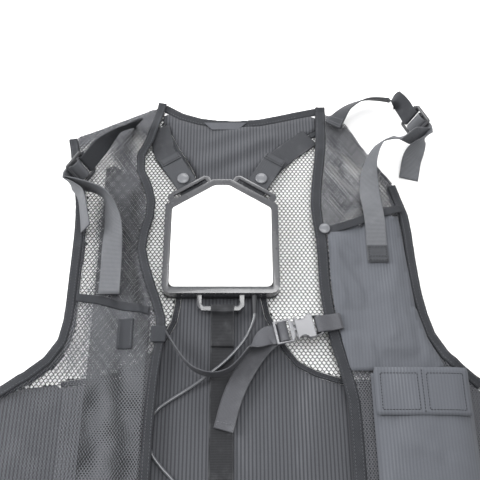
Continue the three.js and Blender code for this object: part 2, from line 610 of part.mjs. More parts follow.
// A ladder lock's own frame: along the webbing, across it, and out of its face
function lockFrame(centre, along, lift) {
  const a = new THREE.Vector3(...along).normalize();
  const level = new THREE.Vector3(-a.y, a.x, 0).normalize();
  const up = new THREE.Vector3().crossVectors(a, level);
  const b = level.multiplyScalar(Math.cos(lift)).addScaledVector(up, Math.sin(lift)).normalize();
  const c = new THREE.Vector3().crossVectors(a, b);
  return { centre: new THREE.Vector3(...centre), a, b, c };
}
const inLock = (f, along, out) => {
  const p = f.centre.clone().addScaledVector(f.a, along).addScaledVector(f.c, out);
  return [p.x, p.y, p.z, f.b.x, f.b.y, f.b.z];
};
const lockBar = 3;
function lockSolid(f) {
  const w = lockWidth / 2;
  const l = lockLength / 2;
  const side = 3;
  const rect = (x0, x1, y0, y1) => [[x0, y0], [x1, y0], [x1, y1], [x0, y1]];
  const corner = 2;
  const outline = [[-l, -w + corner], [-l + corner, -w], [l - corner, -w], [l, -w + corner],
    [l, w - corner], [l - corner, w], [-l + corner, w], [-l, w - corner]];
  const slots = [rect(lockBar / 2, l - lockBar, -w + side, w - side),
    rect(-l + lockBar, -lockBar / 2, -w + side, w - side)];
  const matrix = new THREE.Matrix4().makeBasis(f.a, f.b, f.c).setPosition(f.centre);
  return prism(outline, -lockThick / 2, lockThick / 2, slots).transform(matrix.toArray());
}
const clear = lockThick / 2 + strapThick / 2 + gap + 0.1;
const farClear = clear + strapThick + 0.4;
const slotMiddle = (lockLength / 2 - lockBar + lockBar / 2) / 2;
const fixedEnd = (f) => [
  inLock(f, 34, clear), inLock(f, lockLength / 2, clear), inLock(f, slotMiddle + 1.8, clear - 0.6),
  inLock(f, slotMiddle + 1.2, 0), inLock(f, slotMiddle + 2.2, -clear), inLock(f, lockLength / 2 + 3, -clear)];
const runningEnd = (f) => [inLock(f, -lockLength / 2 - 4, -farClear), inLock(f, -slotMiddle, -farClear),
  inLock(f, slotMiddle - 1.6, -farClear + 0.4), inLock(f, slotMiddle - 1.2, 0), inLock(f, 0, clear + 0.2),
  inLock(f, -slotMiddle, 0.2), inLock(f, -slotMiddle - 2.6, -clear), inLock(f, -lockLength / 2 - 6, -clear)];

const flat = [1, 0, 0];
const onTop = (x, y, lift) => [planX(x), y, drape(planX(x), y) + fabric + gap + strapThick / 2 + lift];
const tilt = THREE.MathUtils.degToRad(60);
const lockLeftX = planX(-176);
const lockRightX = planX(203);
const lockLeft = lockFrame([lockLeftX, 73, 29.5], [0.53, 0.85, 0], tilt);
const lockRight = lockFrame([lockRightX, 140, 22], [-0.45, 0.89, 0], -tilt);
const adjusterWidth = 22;
const leftUpper = [[...onTop(-118, 143, 8), 0.85, 0.4, 0.3], [planX(-134), 128, 27, 0.4, -0.2, 0.9],
  ...fixedEnd(lockLeft)];
const leftLower = [[...onTop(-135, -70, 4.6), ...flat], [...onTop(-136, -20, 3.5), ...flat],
  [...onTop(-138, 16, 6), 0.85, 0, 0.5], [planX(-149), 44, 27, 0.3, -0.1, 0.95], ...runningEnd(lockLeft),
  [lockLeftX + 1, 44, 26, 0.45, 0, 0.9], [lockLeftX + 7, 22, 25.5, 0.5, 0, 0.85],
  [lockLeftX + 11, 2, 24.5, 0.6, 0, 0.8]];
add('shoulder_strap_left', ribbon(leftUpper, adjusterWidth, strapThick, 2), 'darkWebbing');
add('ladder_lock_left', lockSolid(lockLeft), 'plastic');
add('adjuster_strap_left', ribbon(leftLower, adjusterWidth, strapThick, 3), 'webbing');
const rightUpper = [[...onTop(108, 141, 6), 0.5, -0.8, 0.1], [planX(124), 162, 18, 0.3, -0.6, 0.7],
  [lockRightX - 53, 176, 18, 0, -0.5, 0.86], [lockRightX - 27, 172, 21, -0.5, -0.3, 0.8],
  ...fixedEnd(lockRight)];
const onPocket = pocketDepth + 0.8;
const rightLower = [[...onTop(145, -36, onPocket), ...flat], [...onTop(145, -14, onPocket), ...flat],
  [...onTop(145, 6, onPocket + 1.8), ...flat], [...onTop(144, 26, onPocket + 2), ...flat],
  [...onTop(143, 50, 6), 0.95, 0, 0.3], [planX(146), 84, 23, 0.5, -0.3, 0.8],
  [lockRightX - 41, 112, 25, 0.15, -0.35, 0.92], ...runningEnd(lockRight),
  [lockRightX - 3, 104, 7, 1, 0.1, 0.1], [lockRightX - 10, 76, 1.5, 1, 0.1, 0]];
add('shoulder_strap_right', ribbon(rightUpper, adjusterWidth, strapThick, 2), 'darkWebbing');
add('ladder_lock_right', lockSolid(lockRight), 'plastic');
add('adjuster_strap_right', ribbon(rightLower, adjusterWidth, strapThick, 3), 'webbing');

// ---------- chest strap and side-release buckle ----------

const buckleAngle = THREE.MathUtils.degToRad(11.8);
const buckleAt = new THREE.Vector3(planX(37), -112, 19.5);
const buckleMatrix = new THREE.Matrix4().makeRotationZ(buckleAngle).setPosition(buckleAt);
const inBuckle = (a, c) => {
  const p = new THREE.Vector3(a, 0, c).applyMatrix4(buckleMatrix);
  return [p.x, p.y, p.z, Math.sin(buckleAngle), -Math.cos(buckleAngle), 0];
};
function bucklePart(outline, low, high, holes = []) {
  return prism(outline, low, high, holes).transform(buckleMatrix.toArray());
}
const rectangle = (x0, x1, y0, y1) => [[x0, y0], [x1, y0], [x1, y1], [x0, y1]];
const bw = buckleWidth / 2;
const ladder = rectangle(-2, 16, -bw, bw);
const ladderHoles = [rectangle(0.4, 5.6, -bw + 1.8, bw - 1.8), rectangle(8, 13.6, -bw + 1.8, bw - 1.8)];
const maleThick = 3;
const male = joined(bucklePart(ladder, -maleThick / 2, maleThick / 2, ladderHoles),
  bucklePart(rectangle(15, 18, -bw + 3, bw - 3), -maleThick / 2, maleThick / 2),
  bucklePart(rectangle(17, 34, -1.6, 1.6), -maleThick / 2, maleThick / 2));
add('buckle_male', male, 'plastic');
const prongRoot = 18.4;
for (const [name, side] of [['upper', 1], ['lower', -1]]) {
  const prong = [[prongRoot, 4], [prongRoot, 8], [24, 8.4], [25.5, 9.6], [30, 9.6], [34, 6], [34, 4.4],
    [27, 6], [22, 4.6]]
    .map(([x, y]) => [x, side * y]);
  add(`buckle_prong_${name}`, bucklePart(prong, -maleThick / 2, maleThick / 2), 'plastic');
}
const shellStart = 19.5;
const shellEnd = 38;
const buckleEnd = 46;
const shellWall = 1.8;
const shellRoom = buckleThick / 2 - shellWall;
let female = bucklePart(rectangle(shellStart, shellEnd, -bw, bw), -buckleThick / 2, buckleThick / 2);
female = female.subtract(bucklePart(rectangle(shellStart - 1, shellEnd - 2, -10, 10), -shellRoom, shellRoom));
female = female.subtract(bucklePart(rectangle(23, 32, -bw - 1, bw + 1), -shellRoom, shellRoom));
const endThick = 1.8;
const femaleEnd = [
  [shellEnd - 1, -bw + 1], [buckleEnd, -bw + 2], [buckleEnd, bw - 2], [shellEnd - 1, bw - 1]];
female = female.add(bucklePart(femaleEnd,
  -endThick, endThick, [rectangle(shellEnd, buckleEnd - 3, -bw + 2.6, bw - 2.6)]));
add('buckle_female', female, 'plastic');

const strapLow = 8.2;
const strapMiddle = strapLow + chestStrapWidth / 2;
const upright = [0, 0, 1];
const tabRight = planX(-74.5);
const strapStart = [tabRight + gap + 0.05 + strapThick / 2, -112, strapMiddle, ...upright];
const chestRoute = [ [-57, -137], [-47, -147], [-36, -152], [-27, -153.5], [-17, -152],
  [-9, -148], [1, -138], [9, -128]].map(([x, y]) => [planX(x), y, strapMiddle, ...upright]);
const threadClear = maleThick / 2 + strapThick / 2 + gap;
const chestStations = [strapStart, [tabRight + 6, -120, strapMiddle, ...upright], ...chestRoute,
  [planX(18), -122, 18, 0.35, -0.6, 0.7],
  inBuckle(-9, -1.6 - threadClear), inBuckle(-3, -0.6 - threadClear), inBuckle(1.6, -threadClear),
  inBuckle(3, 0.2), inBuckle(4.6, threadClear), inBuckle(6.8, threadClear + 0.5), inBuckle(9, threadClear),
  inBuckle(10.8, 0), inBuckle(9.4, -threadClear - 1.6), inBuckle(0, -threadClear - 3.2),
  [planX(22), -124, 12, 0.5, -0.85, 0], [planX(4), -150, 11, 0.8, -0.5, 0],
  [planX(-8), -176, 9, 0.9, -0.4, 0], [planX(-16), -205, 6, 0.95, -0.3, 0]];
add('chest_strap', ribbon(chestStations, chestStrapWidth, strapThick, 3), 'webbing');
const tabOutline = [[planX(-90), -120], [tabRight, -120], [tabRight, -103], [planX(-90), -103]];
add('chest_tab_left', draped(tabOutline, bindingThick + gap, bindingThick + gap + 1.8), 'webbing');
const loopLow = fabric + gap + pocketWall + gap;
const loopBase = drape(planX(100), -100) + loopLow + strapThick / 2;
const endBar = (buckleEnd + buckleEnd - 3) / 2;
const aroundBar = endThick + strapThick / 2 + gap + 0.1;
const holeMiddle = (shellEnd + buckleEnd - 3) / 2;
const raised = (station, z) => [...station.slice(0, 2), z, ...station.slice(3)];
const upperLoop = loopBase + strapThick + 0.6;
const femaleLoop = [raised(inBuckle(68, 0), loopBase), raised(inBuckle(56, 0), loopBase),
  inBuckle(buckleEnd + 2.6, -aroundBar - 0.3), inBuckle(endBar, -aroundBar),
  inBuckle(holeMiddle + 0.6, -aroundBar * 0.6),
  inBuckle(holeMiddle, 0), inBuckle(holeMiddle + 0.6, aroundBar * 0.6), inBuckle(endBar, aroundBar),
  inBuckle(buckleEnd + 4, 1.4), raised(inBuckle(57, 0), upperLoop), raised(inBuckle(66, 0), upperLoop)];
add('chest_loop_right', ribbon(femaleLoop, chestStrapWidth - 3, strapThick, 2), 'webbing');

// ---------- hanging label at the neck ----------

const labelLine = [[-43, 153], [8, 153], [-2, 143], [-33, 143]];
add('neck_label', prism(plan(labelLine), fabric + gap, fabric + gap + 1.2), 'paleWebbing');

// ---------- power lead: gland, free stretch, coil and plug ----------

const glandLength = 22;
const glandY = podLow + 2;
add('cable_gland', joined(gland(glandX, glandY, glandZ, glandRadius, glandRadius, 4),
  gland(glandX, glandY - 3, glandZ, glandRadius, leadDiameter / 2 + 0.3, glandLength - 3)), 'darkPlastic');
const bed = fabric + gap + leadDiameter / 2;
const leadPoints = [[15, -89.4, glandZ], [14.6, -93, glandZ - 0.6], [12.5, -100, 9.2], [8.6, -108, 6.6],
  [3, -117, 6], [-4.5, -126.5, 6], [-13.5, -136, 6], [-22.5, -143.8, 6], [-32, -151, 5.9], [-41, -157.8, 5],
  [-55, -167, bed], [-70, -176.5, bed], [-80, -184, bed], [-87, -193, bed], [-90, -204, bed],
  [-88, -216, bed], [-83, -228, bed], [-74, -239, bed], [-64, -249, bed], [-55.5, -259.5, bed],
  [-51, -268, bed], [-50, -276.8, bed]];
const leadVectors = leadPoints.map((p) => new THREE.Vector3(...p));
const leadCurve = new THREE.CatmullRomCurve3(leadVectors, false, 'centripetal');
const section = new THREE.Shape();
for (let i = 0; i < 8; i++) {
  const angle = i * Math.PI / 4;
  const point = [Math.cos(angle) * leadDiameter / 2, Math.sin(angle) * leadDiameter / 2];
  if (i === 0) section.moveTo(...point); else section.lineTo(...point);
}
const alongLead = { steps: 44, bevelEnabled: false, extrudePath: leadCurve };
add('power_lead', toManifold(new THREE.ExtrudeGeometry(section, alongLead)), 'lead');

const coilRadius = coilDiameter / 2;
const coilAt = [leadPoints[leadPoints.length - 1][0] + coilRadius, -292];
const coilLow = fabric + gap + 0.1;
const chamfer = 1.6;
const inside = coilRadius - coilBand / 2;
const outside = coilRadius + coilBand / 2;
const coilProfile = [[inside, chamfer], [inside + chamfer, 0], [outside - chamfer, 0], [outside, chamfer],
  [outside, coilBand - chamfer], [outside - chamfer, coilBand], [inside + chamfer, coilBand],
  [inside, coilBand - chamfer], [inside, chamfer]].map(([r, z]) => new THREE.Vector2(r, z));
const coil = new THREE.LatheGeometry(coilProfile, 28).rotateX(Math.PI / 2);
add('lead_coil', toManifold(coil.translate(coilAt[0], coilAt[1], coilLow)), 'lead');

const plugBody = [22, 15, 7];
const plugShell = [13, 12, 4.5];
const plugX = coilAt[0] + Math.sqrt(outside ** 2 - (coilRadius - plugBody[1] / 2) ** 2) + gap;
const plugY = coilAt[1] - coilRadius;
const plugLow = fabric + gap;
const plugMiddle = plugLow + plugBody[2] / 2;
const centred = (x, size) => block(x, x + size[0], plugY - size[1] / 2, plugY + size[1] / 2,
  plugMiddle - size[2] / 2, plugMiddle + size[2] / 2);
const plugTip = centred(plugX + plugBody[0] - 1, [plugShell[0] + 1, plugShell[1], plugShell[2]]);
add('lead_plug', joined(centred(plugX, plugBody), plugTip), 'darkPlastic');

// The origin: middle of the garment's box, on the table. The lead and what is on it are left out.
const onLead = ['power_lead', 'lead_coil', 'lead_plug', 'cable_gland'];
const bounds = new THREE.Box3();
for (const mesh of vest.children) if (!onLead.includes(mesh.name)) bounds.expandByObject(mesh);
const middle = bounds.getCenter(new THREE.Vector3());
vest.position.set(-middle.x, -middle.y, -bounds.min.z);

export default vest;
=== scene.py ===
import math

import bmesh
import bpy
from mathutils import Matrix, Vector, noise
from mathutils.bvhtree import BVHTree


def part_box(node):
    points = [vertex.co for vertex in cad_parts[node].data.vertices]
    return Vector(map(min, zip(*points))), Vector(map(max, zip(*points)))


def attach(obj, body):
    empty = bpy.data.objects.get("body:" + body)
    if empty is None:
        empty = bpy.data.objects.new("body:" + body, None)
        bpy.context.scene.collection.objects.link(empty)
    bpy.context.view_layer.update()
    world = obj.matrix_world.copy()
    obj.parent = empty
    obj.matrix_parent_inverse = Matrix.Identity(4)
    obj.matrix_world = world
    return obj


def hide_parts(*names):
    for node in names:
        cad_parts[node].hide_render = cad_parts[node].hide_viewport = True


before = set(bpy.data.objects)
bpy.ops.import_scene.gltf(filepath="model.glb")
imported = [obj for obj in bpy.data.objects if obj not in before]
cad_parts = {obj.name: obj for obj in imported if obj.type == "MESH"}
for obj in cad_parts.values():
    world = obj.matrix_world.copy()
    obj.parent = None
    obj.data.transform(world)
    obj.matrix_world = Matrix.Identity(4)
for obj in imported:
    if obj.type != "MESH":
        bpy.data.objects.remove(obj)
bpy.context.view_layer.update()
mm = 0.001
scene = bpy.context.scene
down = Vector((0, 0, -1))

# The garment's own origin, from which the cut is measured: between the pod's middle and the neck
plateLow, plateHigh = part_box("face_plate")
origin = (plateLow + plateHigh) / 2 + Vector((20, 1.5, -17.1)) * mm


def at(x, y, z=0):
    return origin + Vector((x, y, z)) * mm


# ---------- camera and light ----------

shot = {"lens": 50, "sensor": 36, "elevation": 65, "distance": 0.733}
rise = math.radians(shot["elevation"])
cameraData = bpy.data.cameras.new("camera")
cameraData.lens = shot["lens"]
cameraData.sensor_width = shot["sensor"]
camera = bpy.data.objects.new("camera", cameraData)
scene.collection.objects.link(camera)
camera.location = origin + Vector((0, -math.cos(rise), math.sin(rise))) * shot["distance"]
camera.rotation_euler = (math.pi / 2 - rise, 0, 0)
scene.camera = camera
scene.view_settings.view_transform = "Standard"

lights = {"sky": 0.72, "top": 14, "left": 24, "right": 3, "back": 14, "size": 0.7}
world = bpy.data.worlds.new("sky")
world.use_nodes = True
world.node_tree.nodes["Background"].inputs["Color"].default_value = (1, 1, 1, 1)
world.node_tree.nodes["Background"].inputs["Strength"].default_value = lights["sky"]
scene.world = world
for name, spot, power in (
    ("top", (0.1, 0.25, 1.5), lights["top"]),
    ("left", (-1.2, 0.3, 0.8), lights["left"]),
    ("right", (1.2, -0.2, 0.9), lights["right"]),
    ("back", (0.1, 1.3, 0.7), lights["back"]),
):
    lamp = bpy.data.lights.new(name, "AREA")
    lamp.energy = power
    lamp.size = lights["size"]
    holder = bpy.data.objects.new("light_" + name, lamp)
    scene.collection.objects.link(holder)
    holder.location = spot
    holder.rotation_euler = Vector(spot).to_track_quat("Z", "Y").to_euler()
print("camera and light")

# ---------- materials ----------


# The light is strong enough to burn out the white table, so cloth that looks mid grey has a dark base colour
glare = 1.85


def tone(red, green=None, blue=None):
    channels = (red, red if green is None else green, red if blue is None else blue)
    return (*[(((c / 255) + 0.055) / 1.055) ** 2.4 / glare for c in channels], 1)


class Value:
    # A number socket that does arithmetic with numbers and other sockets
    def __init__(self, shade, socket):
        self.shade = shade
        self.socket = socket

    def maths(self, operation, *others, swap=False):
        terms = [self, *others][:: -1 if swap else 1]
        return self.shade.node("ShaderNodeMath", dict(enumerate(terms)), operation=operation)

    def sine(self):
        return self.maths("SINE")

    def size(self):
        return self.maths("ABSOLUTE")

    def most(self, other):
        return self.maths("MAXIMUM", other)

    def least(self, other):
        return self.maths("MINIMUM", other)

    def step(self, low, high, first=0.0, last=1.0):
        inputs = {0: self, 1: low, 2: high, 3: first, 4: last}
        return self.shade.node("ShaderNodeMapRange", inputs, interpolation_type="SMOOTHSTEP")


operators = {"add": "ADD", "sub": "SUBTRACT", "mul": "MULTIPLY", "truediv": "DIVIDE", "mod": "FLOORED_MODULO"}
for word, operation in operators.items():
    setattr(Value, f"__{word}__", lambda a, b, kind=operation: a.maths(kind, b))
    setattr(Value, f"__r{word}__", lambda a, b, kind=operation: a.maths(kind, b, swap=True))


class Shade:
    def __init__(self, name):
        self.material = bpy.data.materials.new(name)
        self.material.use_nodes = True
        self.nodes = self.material.node_tree.nodes
        self.nodes.clear()

    def node(self, kind, inputs=None, out=0, **settings):
        made = self.nodes.new(kind)
        for key, value in settings.items():
            setattr(made, key, value)
        for key, value in (inputs or {}).items():
            if isinstance(value, Value):
                self.material.node_tree.links.new(value.socket, made.inputs[key])
            elif value is not None:
                made.inputs[key].default_value = value
        return Value(self, made.outputs[out])

    def parts(self, vector):
        split = self.node("ShaderNodeSeparateXYZ", {0: vector})
        return [Value(self, socket) for socket in split.socket.node.outputs]

    def place(self):
        return self.node("ShaderNodeTexCoord", out="Object")

    def cloth(self):
        return self.node("ShaderNodeUVMap", uv_map="UVMap")

    def noise(self, scale, vector, detail=3.0, roughness=0.55):
        inputs = {"Vector": vector, "Scale": scale, "Detail": detail, "Roughness": roughness}
        return self.node("ShaderNodeTexNoise", inputs)

    def stretched(self, vector, scale):
        return self.node("ShaderNodeVectorMath", {0: vector, 1: scale}, operation="MULTIPLY")

    def mix(self, factor, first, second):
        return self.node("ShaderNodeMix", {0: factor, 6: first, 7: second}, out=2, data_type="RGBA")

    def bump(self, height, distance, strength=1.0, normal=None):
        inputs = {"Height": height, "Distance": distance, "Strength": strength, "Normal": normal}
        return self.node("ShaderNodeBump", inputs)

    def finish(self, color, roughness, normal=None, **more):
        inputs = {"Base Color": color, "Roughness": roughness, "Normal": normal}
        inputs.update({key.replace("_", " "): value for key, value in more.items()})
        surface = self.node("ShaderNodeBsdfPrincipled", inputs)
        end = self.nodes.new("ShaderNodeOutputMaterial")
        self.material.node_tree.links.new(surface.socket, end.inputs["Surface"])
        return self.material


turn = 2 * math.pi / mm


def ribbedFabric(name, light, dark, pitch=3.7, depth=0.5, relief=0.4):
    shade = Shade(name)
    spot = shade.place()
    x, y, z = shade.parts(spot)
    wander = shade.noise(9, spot) * 0.0012
    rib = ((x + wander) * (turn / pitch)).sine() * 0.5 + 0.5
    course = (y * (turn / 1.1)).sine() * 0.5 + 0.5
    fine = ((x + wander) * (turn / 0.93)).sine() * 0.5 + 0.5
    knit = rib.step(0.1, 0.6) * 0.7 + course * fine * 0.3
    pile = shade.noise(1300, spot, 2)
    cloud = shade.noise(20, shade.stretched(spot, (1.0, 0.3, 1.0)), 4)
    base = shade.mix((knit * depth + pile * 0.25 + cloud * 0.3).step(0.15, 0.85), dark, light)
    rubbed = cloud.step(0.55, 0.8) * rib.step(0.5, 0.9)
    color = shade.mix(rubbed * 0.25, base, tone(158, 160, 166))
    height = knit + pile * 0.2
    return shade.finish(color, cloud.step(0.2, 0.8, 0.7, 0.9), shade.bump(height, 0.3 * mm, relief),
                        Sheen_Weight=0.04, Specular_IOR_Level=0.2)


def hexHoles(x, y, width, height, hole):
    # How far a point lies inside the nearest hole of a staggered lattice, 1 in its middle and 0 at its rim
    across = [((x / width) % 1.0 - 0.5) * (width / hole), ((x / width + 0.5) % 1.0 - 0.5) * (width / hole)]
    along = [((y / height) % 1.0 - 0.5) * (height / hole), ((y / height + 0.5) % 1.0 - 0.5) * (height / hole)]
    rings = [(a * a + b * b).maths("SQRT") for a, b in zip(across, along)]
    return 1 - rings[0].least(rings[1]) * 2


def meshFabric(name, thread, glint, width=2.8, height=4.0, hole=2.05, shift=0.0):
    shade = Shade(name)
    spot = shade.place()
    x, y, z = shade.parts(spot)
    pull = shade.noise(16, spot, 2) - 0.5
    x = x * 1000 + pull * 6 + shift
    y = y * 1000 + pull * 3 + shift * 0.6
    # Where the cloth is gathered in layers its holes close up, and its threads get painted shade
    gather_and_shade = shade.node("ShaderNodeAttribute", out="Fac", attribute_name="gather_and_shade")
    inside = hexHoles(x, y, width, height, hole) - gather_and_shade * 0.62
    ply = (y * (2 * math.pi / 0.55) + x * 4).sine() * 0.5 + 0.5
    fuzz = shade.noise(2600, spot, 1)
    # Painted highlight on the plies and fibres, toned down by painted shade where the cloth is gathered
    wear_and_painted_light = (ply * 0.4 + fuzz * 0.6) * (1.15 - gather_and_shade * 0.7)
    color = shade.mix(wear_and_painted_light.least(1.0), thread, glint)
    cover = inside.step(-0.06, 0.06, 1.0, 0.0)
    rounded = inside.step(-0.9, 0.1, 1.0, 0.0) + ply * 0.2
    return shade.finish(color, 0.62, shade.bump(rounded, 0.3 * mm), Alpha=cover,
                        Specular_IOR_Level=0.25)


def strandFabric(name, thread, glint):
    shade = Shade(name)
    spot = shade.place()
    x, y, z = shade.parts(spot)
    ply = ((x + y) * (turn / 0.62)).sine() * 0.5 + 0.5
    cross = ((x - y) * (turn / 0.8)).sine() * 0.5 + 0.5
    fuzz = shade.noise(2400, spot, 2)
    color = shade.mix(ply * 0.3 + cross * 0.2 + fuzz * 0.5, thread, glint)
    return shade.finish(color, 0.6, shade.bump(ply + cross * 0.5, 0.12 * mm), Specular_IOR_Level=0.25)


def tapeFabric(name, dark, light):
    shade = Shade(name)
    spot = shade.place()
    x, y, z = shade.parts(spot)
    knit = (x * (turn / 1.9)).sine() * (y * (turn / 2.1)).sine() * 0.5 + 0.5
    pile = shade.noise(900, spot, 3)
    wear_and_painted_light = shade.noise(40, spot, 4).step(0.45, 0.8)
    color = shade.mix(wear_and_painted_light * 0.5, shade.mix(knit * 0.5 + pile * 0.5, dark, light), light)
    return shade.finish(color, 0.85, shade.bump(knit + pile * 0.6, 0.22 * mm), Specular_IOR_Level=0.2)


def webFabric(name, dark, light, width, twill=1.0):
    # u runs across the band and v along it, in metres; a twill leans, a plain weave has twill 0
    shade = Shade(name)
    u, v, w = shade.parts(shade.cloth())
    spot = shade.place()
    cords = (u * (turn / 1.25)).sine() * 0.5 + 0.5
    picks = ((v + u * twill) * (turn / 1.5)).sine() * 0.5 + 0.5
    other = ((v - u * twill) * (turn / 1.5)).sine() * 0.5 + 0.5
    weave = cords * 0.35 + picks.most(other) * 0.65
    edge = u.size().step(width * 0.5 * mm - 1.6 * mm, width * 0.5 * mm - 1.1 * mm)
    selvedge = (v * (turn / 0.8)).sine() * 0.5 + 0.5
    height = weave * (1 - edge) + selvedge * edge
    fuzz = shade.noise(1500, spot, 2)
    cloud = shade.noise(45, spot, 4)
    rub = cloud.step(0.5, 0.8) * 0.5 + edge * cloud.step(0.35, 0.6) * 0.35
    base = shade.mix(height * 0.7 + fuzz * 0.3, dark, light)
    color = shade.mix(rub * 0.35, base, tone(176, 178, 182))
    return shade.finish(color, 0.7, shade.bump(height + fuzz * 0.3, 0.3 * mm, 0.9), Specular_IOR_Level=0.25)


def moulded(name, color, roughness=0.42, grain=0.05, coat=0.0, lift=1.0):
    shade = Shade(name)
    spot = shade.place()
    pits = shade.noise(2200, spot, 2)
    cloud = shade.noise(35, spot, 4)
    lines = shade.noise(260, shade.stretched(spot, (1.0, 0.12, 1.0)), 3)
    scuff = lines.step(0.66, 0.76) * cloud.step(0.5, 0.75)
    wear_and_painted_light = tone(*[min(255, c * 0.6 + 100) for c in color])
    full = tuple(min(0.9, c * lift) for c in tone(*color)[:3]) + (1,)
    shadow = tuple(c * 0.93 for c in full[:3]) + (1,)
    base = shade.mix(cloud.step(0.3, 0.7), full, shadow)
    shine = cloud.step(0.2, 0.8, roughness - 0.07, roughness + 0.1)
    return shade.finish(shade.mix(scuff * 0.35, base, wear_and_painted_light), shine,
                        shade.bump(pits + lines * 0.2, grain * mm, 0.6), Coat_Weight=coat)


def brushed(name, color, metallic=1.0):
    shade = Shade(name)
    spot = shade.place()
    lines = shade.noise(900, shade.stretched(spot, (1.0, 0.05, 1.0)), 3)
    cloud = shade.noise(60, spot, 3)
    return shade.finish(shade.mix(cloud, tone(*color), tone(*[c * 0.8 for c in color])),
                        lines.step(0.3, 0.7, 0.25, 0.5), shade.bump(lines, 0.03 * mm), Metallic=metallic)


def boardFinish(name):
    shade = Shade(name)
    spot = shade.place()
    cells = shade.node("ShaderNodeTexVoronoi", {"Vector": spot, "Scale": 420}, feature="DISTANCE_TO_EDGE")
    track = cells.step(0.05, 0.09, 1.0, 0.0)
    color = shade.mix(track, tone(34, 84, 58), tone(70, 128, 88))
    return shade.finish(color, track * 0.2 + 0.35, shade.bump(track, 0.05 * mm))


looks = {
    "yoke": ribbedFabric("ribbed_fabric", tone(110, 112, 117), tone(62, 63, 68), 3.7, 0.36, 0.3),
    "skirt": ribbedFabric("ribbed_pocket_fabric", tone(128, 131, 138), tone(100, 103, 110), 3.2, 0.16, 0.12),
    "front": meshFabric("front_mesh", tone(56, 57, 62), tone(156, 158, 164), 2.8, 4.0, 2.55),
    # Partly painted shade: the lining's own dark colour, darkened further to stand in for the shade under the
    # front
    "lining_and_shade": meshFabric("lining_mesh_and_shade", tone(18, 19, 22), tone(50, 52, 56), 2.3, 3.2, 1.0, 0.9),
    "pocket": meshFabric("pocket_mesh", tone(70, 72, 77), tone(164, 166, 172), 3.0, 4.3, 2.6, 1.4),
    "strand": strandFabric("coarse_mesh", tone(16, 17, 20), tone(56, 58, 62)),
    "binding": tapeFabric("binding_tape", tone(14, 15, 18), tone(84, 86, 91)),
    "patch": tapeFabric("patch_tape", tone(46, 48, 52), tone(84, 86, 91)),
    "label": tapeFabric("label_cloth", tone(84, 86, 91), tone(118, 120, 126)),
    "dark": webFabric("dark_webbing", tone(32, 33, 37), tone(84, 86, 91), 25),
    "centre": webFabric("centre_webbing_fabric", tone(22, 23, 26), tone(62, 63, 67), 24, 0.0),
    "flap": webFabric("flap_webbing", tone(44, 46, 50), tone(98, 100, 105), 25, 0.0),
    "strap": webFabric("strap_webbing", tone(66, 68, 73), tone(150, 152, 157), 22, 0.0),
    "chest": webFabric("chest_webbing", tone(38, 39, 43), tone(124, 125, 131), 20, 1.0),
    "frame": moulded("pod_frame_plastic", (78, 79, 83), 0.24, 0.03, 0.4),
    # Painted shade: a dark ring that stands in for the shadow line round the face plate
    "shadow_ring": moulded("painted_shadow_ring", (22, 23, 25), 0.6, 0.03),
    "face": moulded("face_plate_plastic", (255, 255, 255), 0.3, 0.01, 0.3, 1.5),
    "cover": moulded("cover_plastic", (58, 60, 64), 0.5, 0.06),
    "snap": moulded("snap_plastic", (122, 124, 129), 0.34, 0.03, 0.15),
    "lock": moulded("lock_plastic", (66, 67, 71), 0.3, 0.04, 0.15),
    "buckle": moulded("buckle_plastic", (138, 139, 144), 0.3, 0.03, 0.2),
    "cable": moulded("cable_jacket", (104, 106, 111), 0.28, 0.01, 0.4),
    "gland": moulded("gland_rubber", (60, 62, 66), 0.55, 0.05),
    "steel": brushed("screw_steel", (190, 192, 196)),
    "alloy": brushed("sink_alloy", (170, 172, 176)),
    "board": boardFinish("circuit_board_finish"),
    "ceramic": moulded("module_ceramic", (232, 230, 224), 0.5, 0.03),
    "thread": strandFabric("stitch_thread", tone(96, 98, 103), tone(160, 162, 167)),
    "bindThread": strandFabric("binding_thread", tone(74, 76, 81), tone(140, 142, 148)),
    "darkThread": strandFabric("dark_thread", tone(14, 15, 17), tone(50, 52, 56)),
}
print("materials")

# ---------- making pieces ----------


def piece(name, mesh, look, body="vest", nodes=()):
    made = bpy.data.objects.new(name, mesh)
    scene.collection.objects.link(made)
    if look:
        mesh.materials.clear()
        mesh.materials.append(looks[look])
    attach(made, body)
    if nodes:
        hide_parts(*nodes)
    return made


def meshOf(shape, name, smoothed=True):
    mesh = bpy.data.meshes.new(name)
    for face in shape.faces:
        face.smooth = smoothed
    shape.to_mesh(mesh)
    shape.free()
    return mesh


def modified(made, kind, **settings):
    # Adds one modifier and keeps its result
    step = made.modifiers.new(kind.lower(), kind)
    for key, value in settings.items():
        setattr(step, key, value)
    bpy.context.view_layer.update()
    result = bpy.data.meshes.new_from_object(made.evaluated_get(bpy.context.evaluated_depsgraph_get()))
    made.modifiers.clear()
    made.data = result
    return made


def cadShape(node, weld=0.002 * mm):
    shape = bmesh.new()
    shape.from_mesh(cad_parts[node].data)
    bmesh.ops.remove_doubles(shape, verts=shape.verts[:], dist=weld)
    return shape


class Solid:
    # A CAD node as something to measure: its top by dropping rays, its sides by nearness
    def __init__(self, node):
        self.low, self.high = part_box(node)
        shape = cadShape(node)
        self.whole = BVHTree.FromBMesh(shape)
        bmesh.ops.delete(shape, geom=[f for f in shape.faces if abs(f.normal.z) > 0.5], context="FACES")
        self.sides = BVHTree.FromBMesh(shape)
        shape.free()

    def top(self, x, y):
        hit = self.whole.ray_cast(Vector((x, y, self.high.z + 0.01)), down)[0]
        return hit.z if hit else None

    def rim(self, x, y, z):
        return self.sides.find_nearest(Vector((x, y, z)))


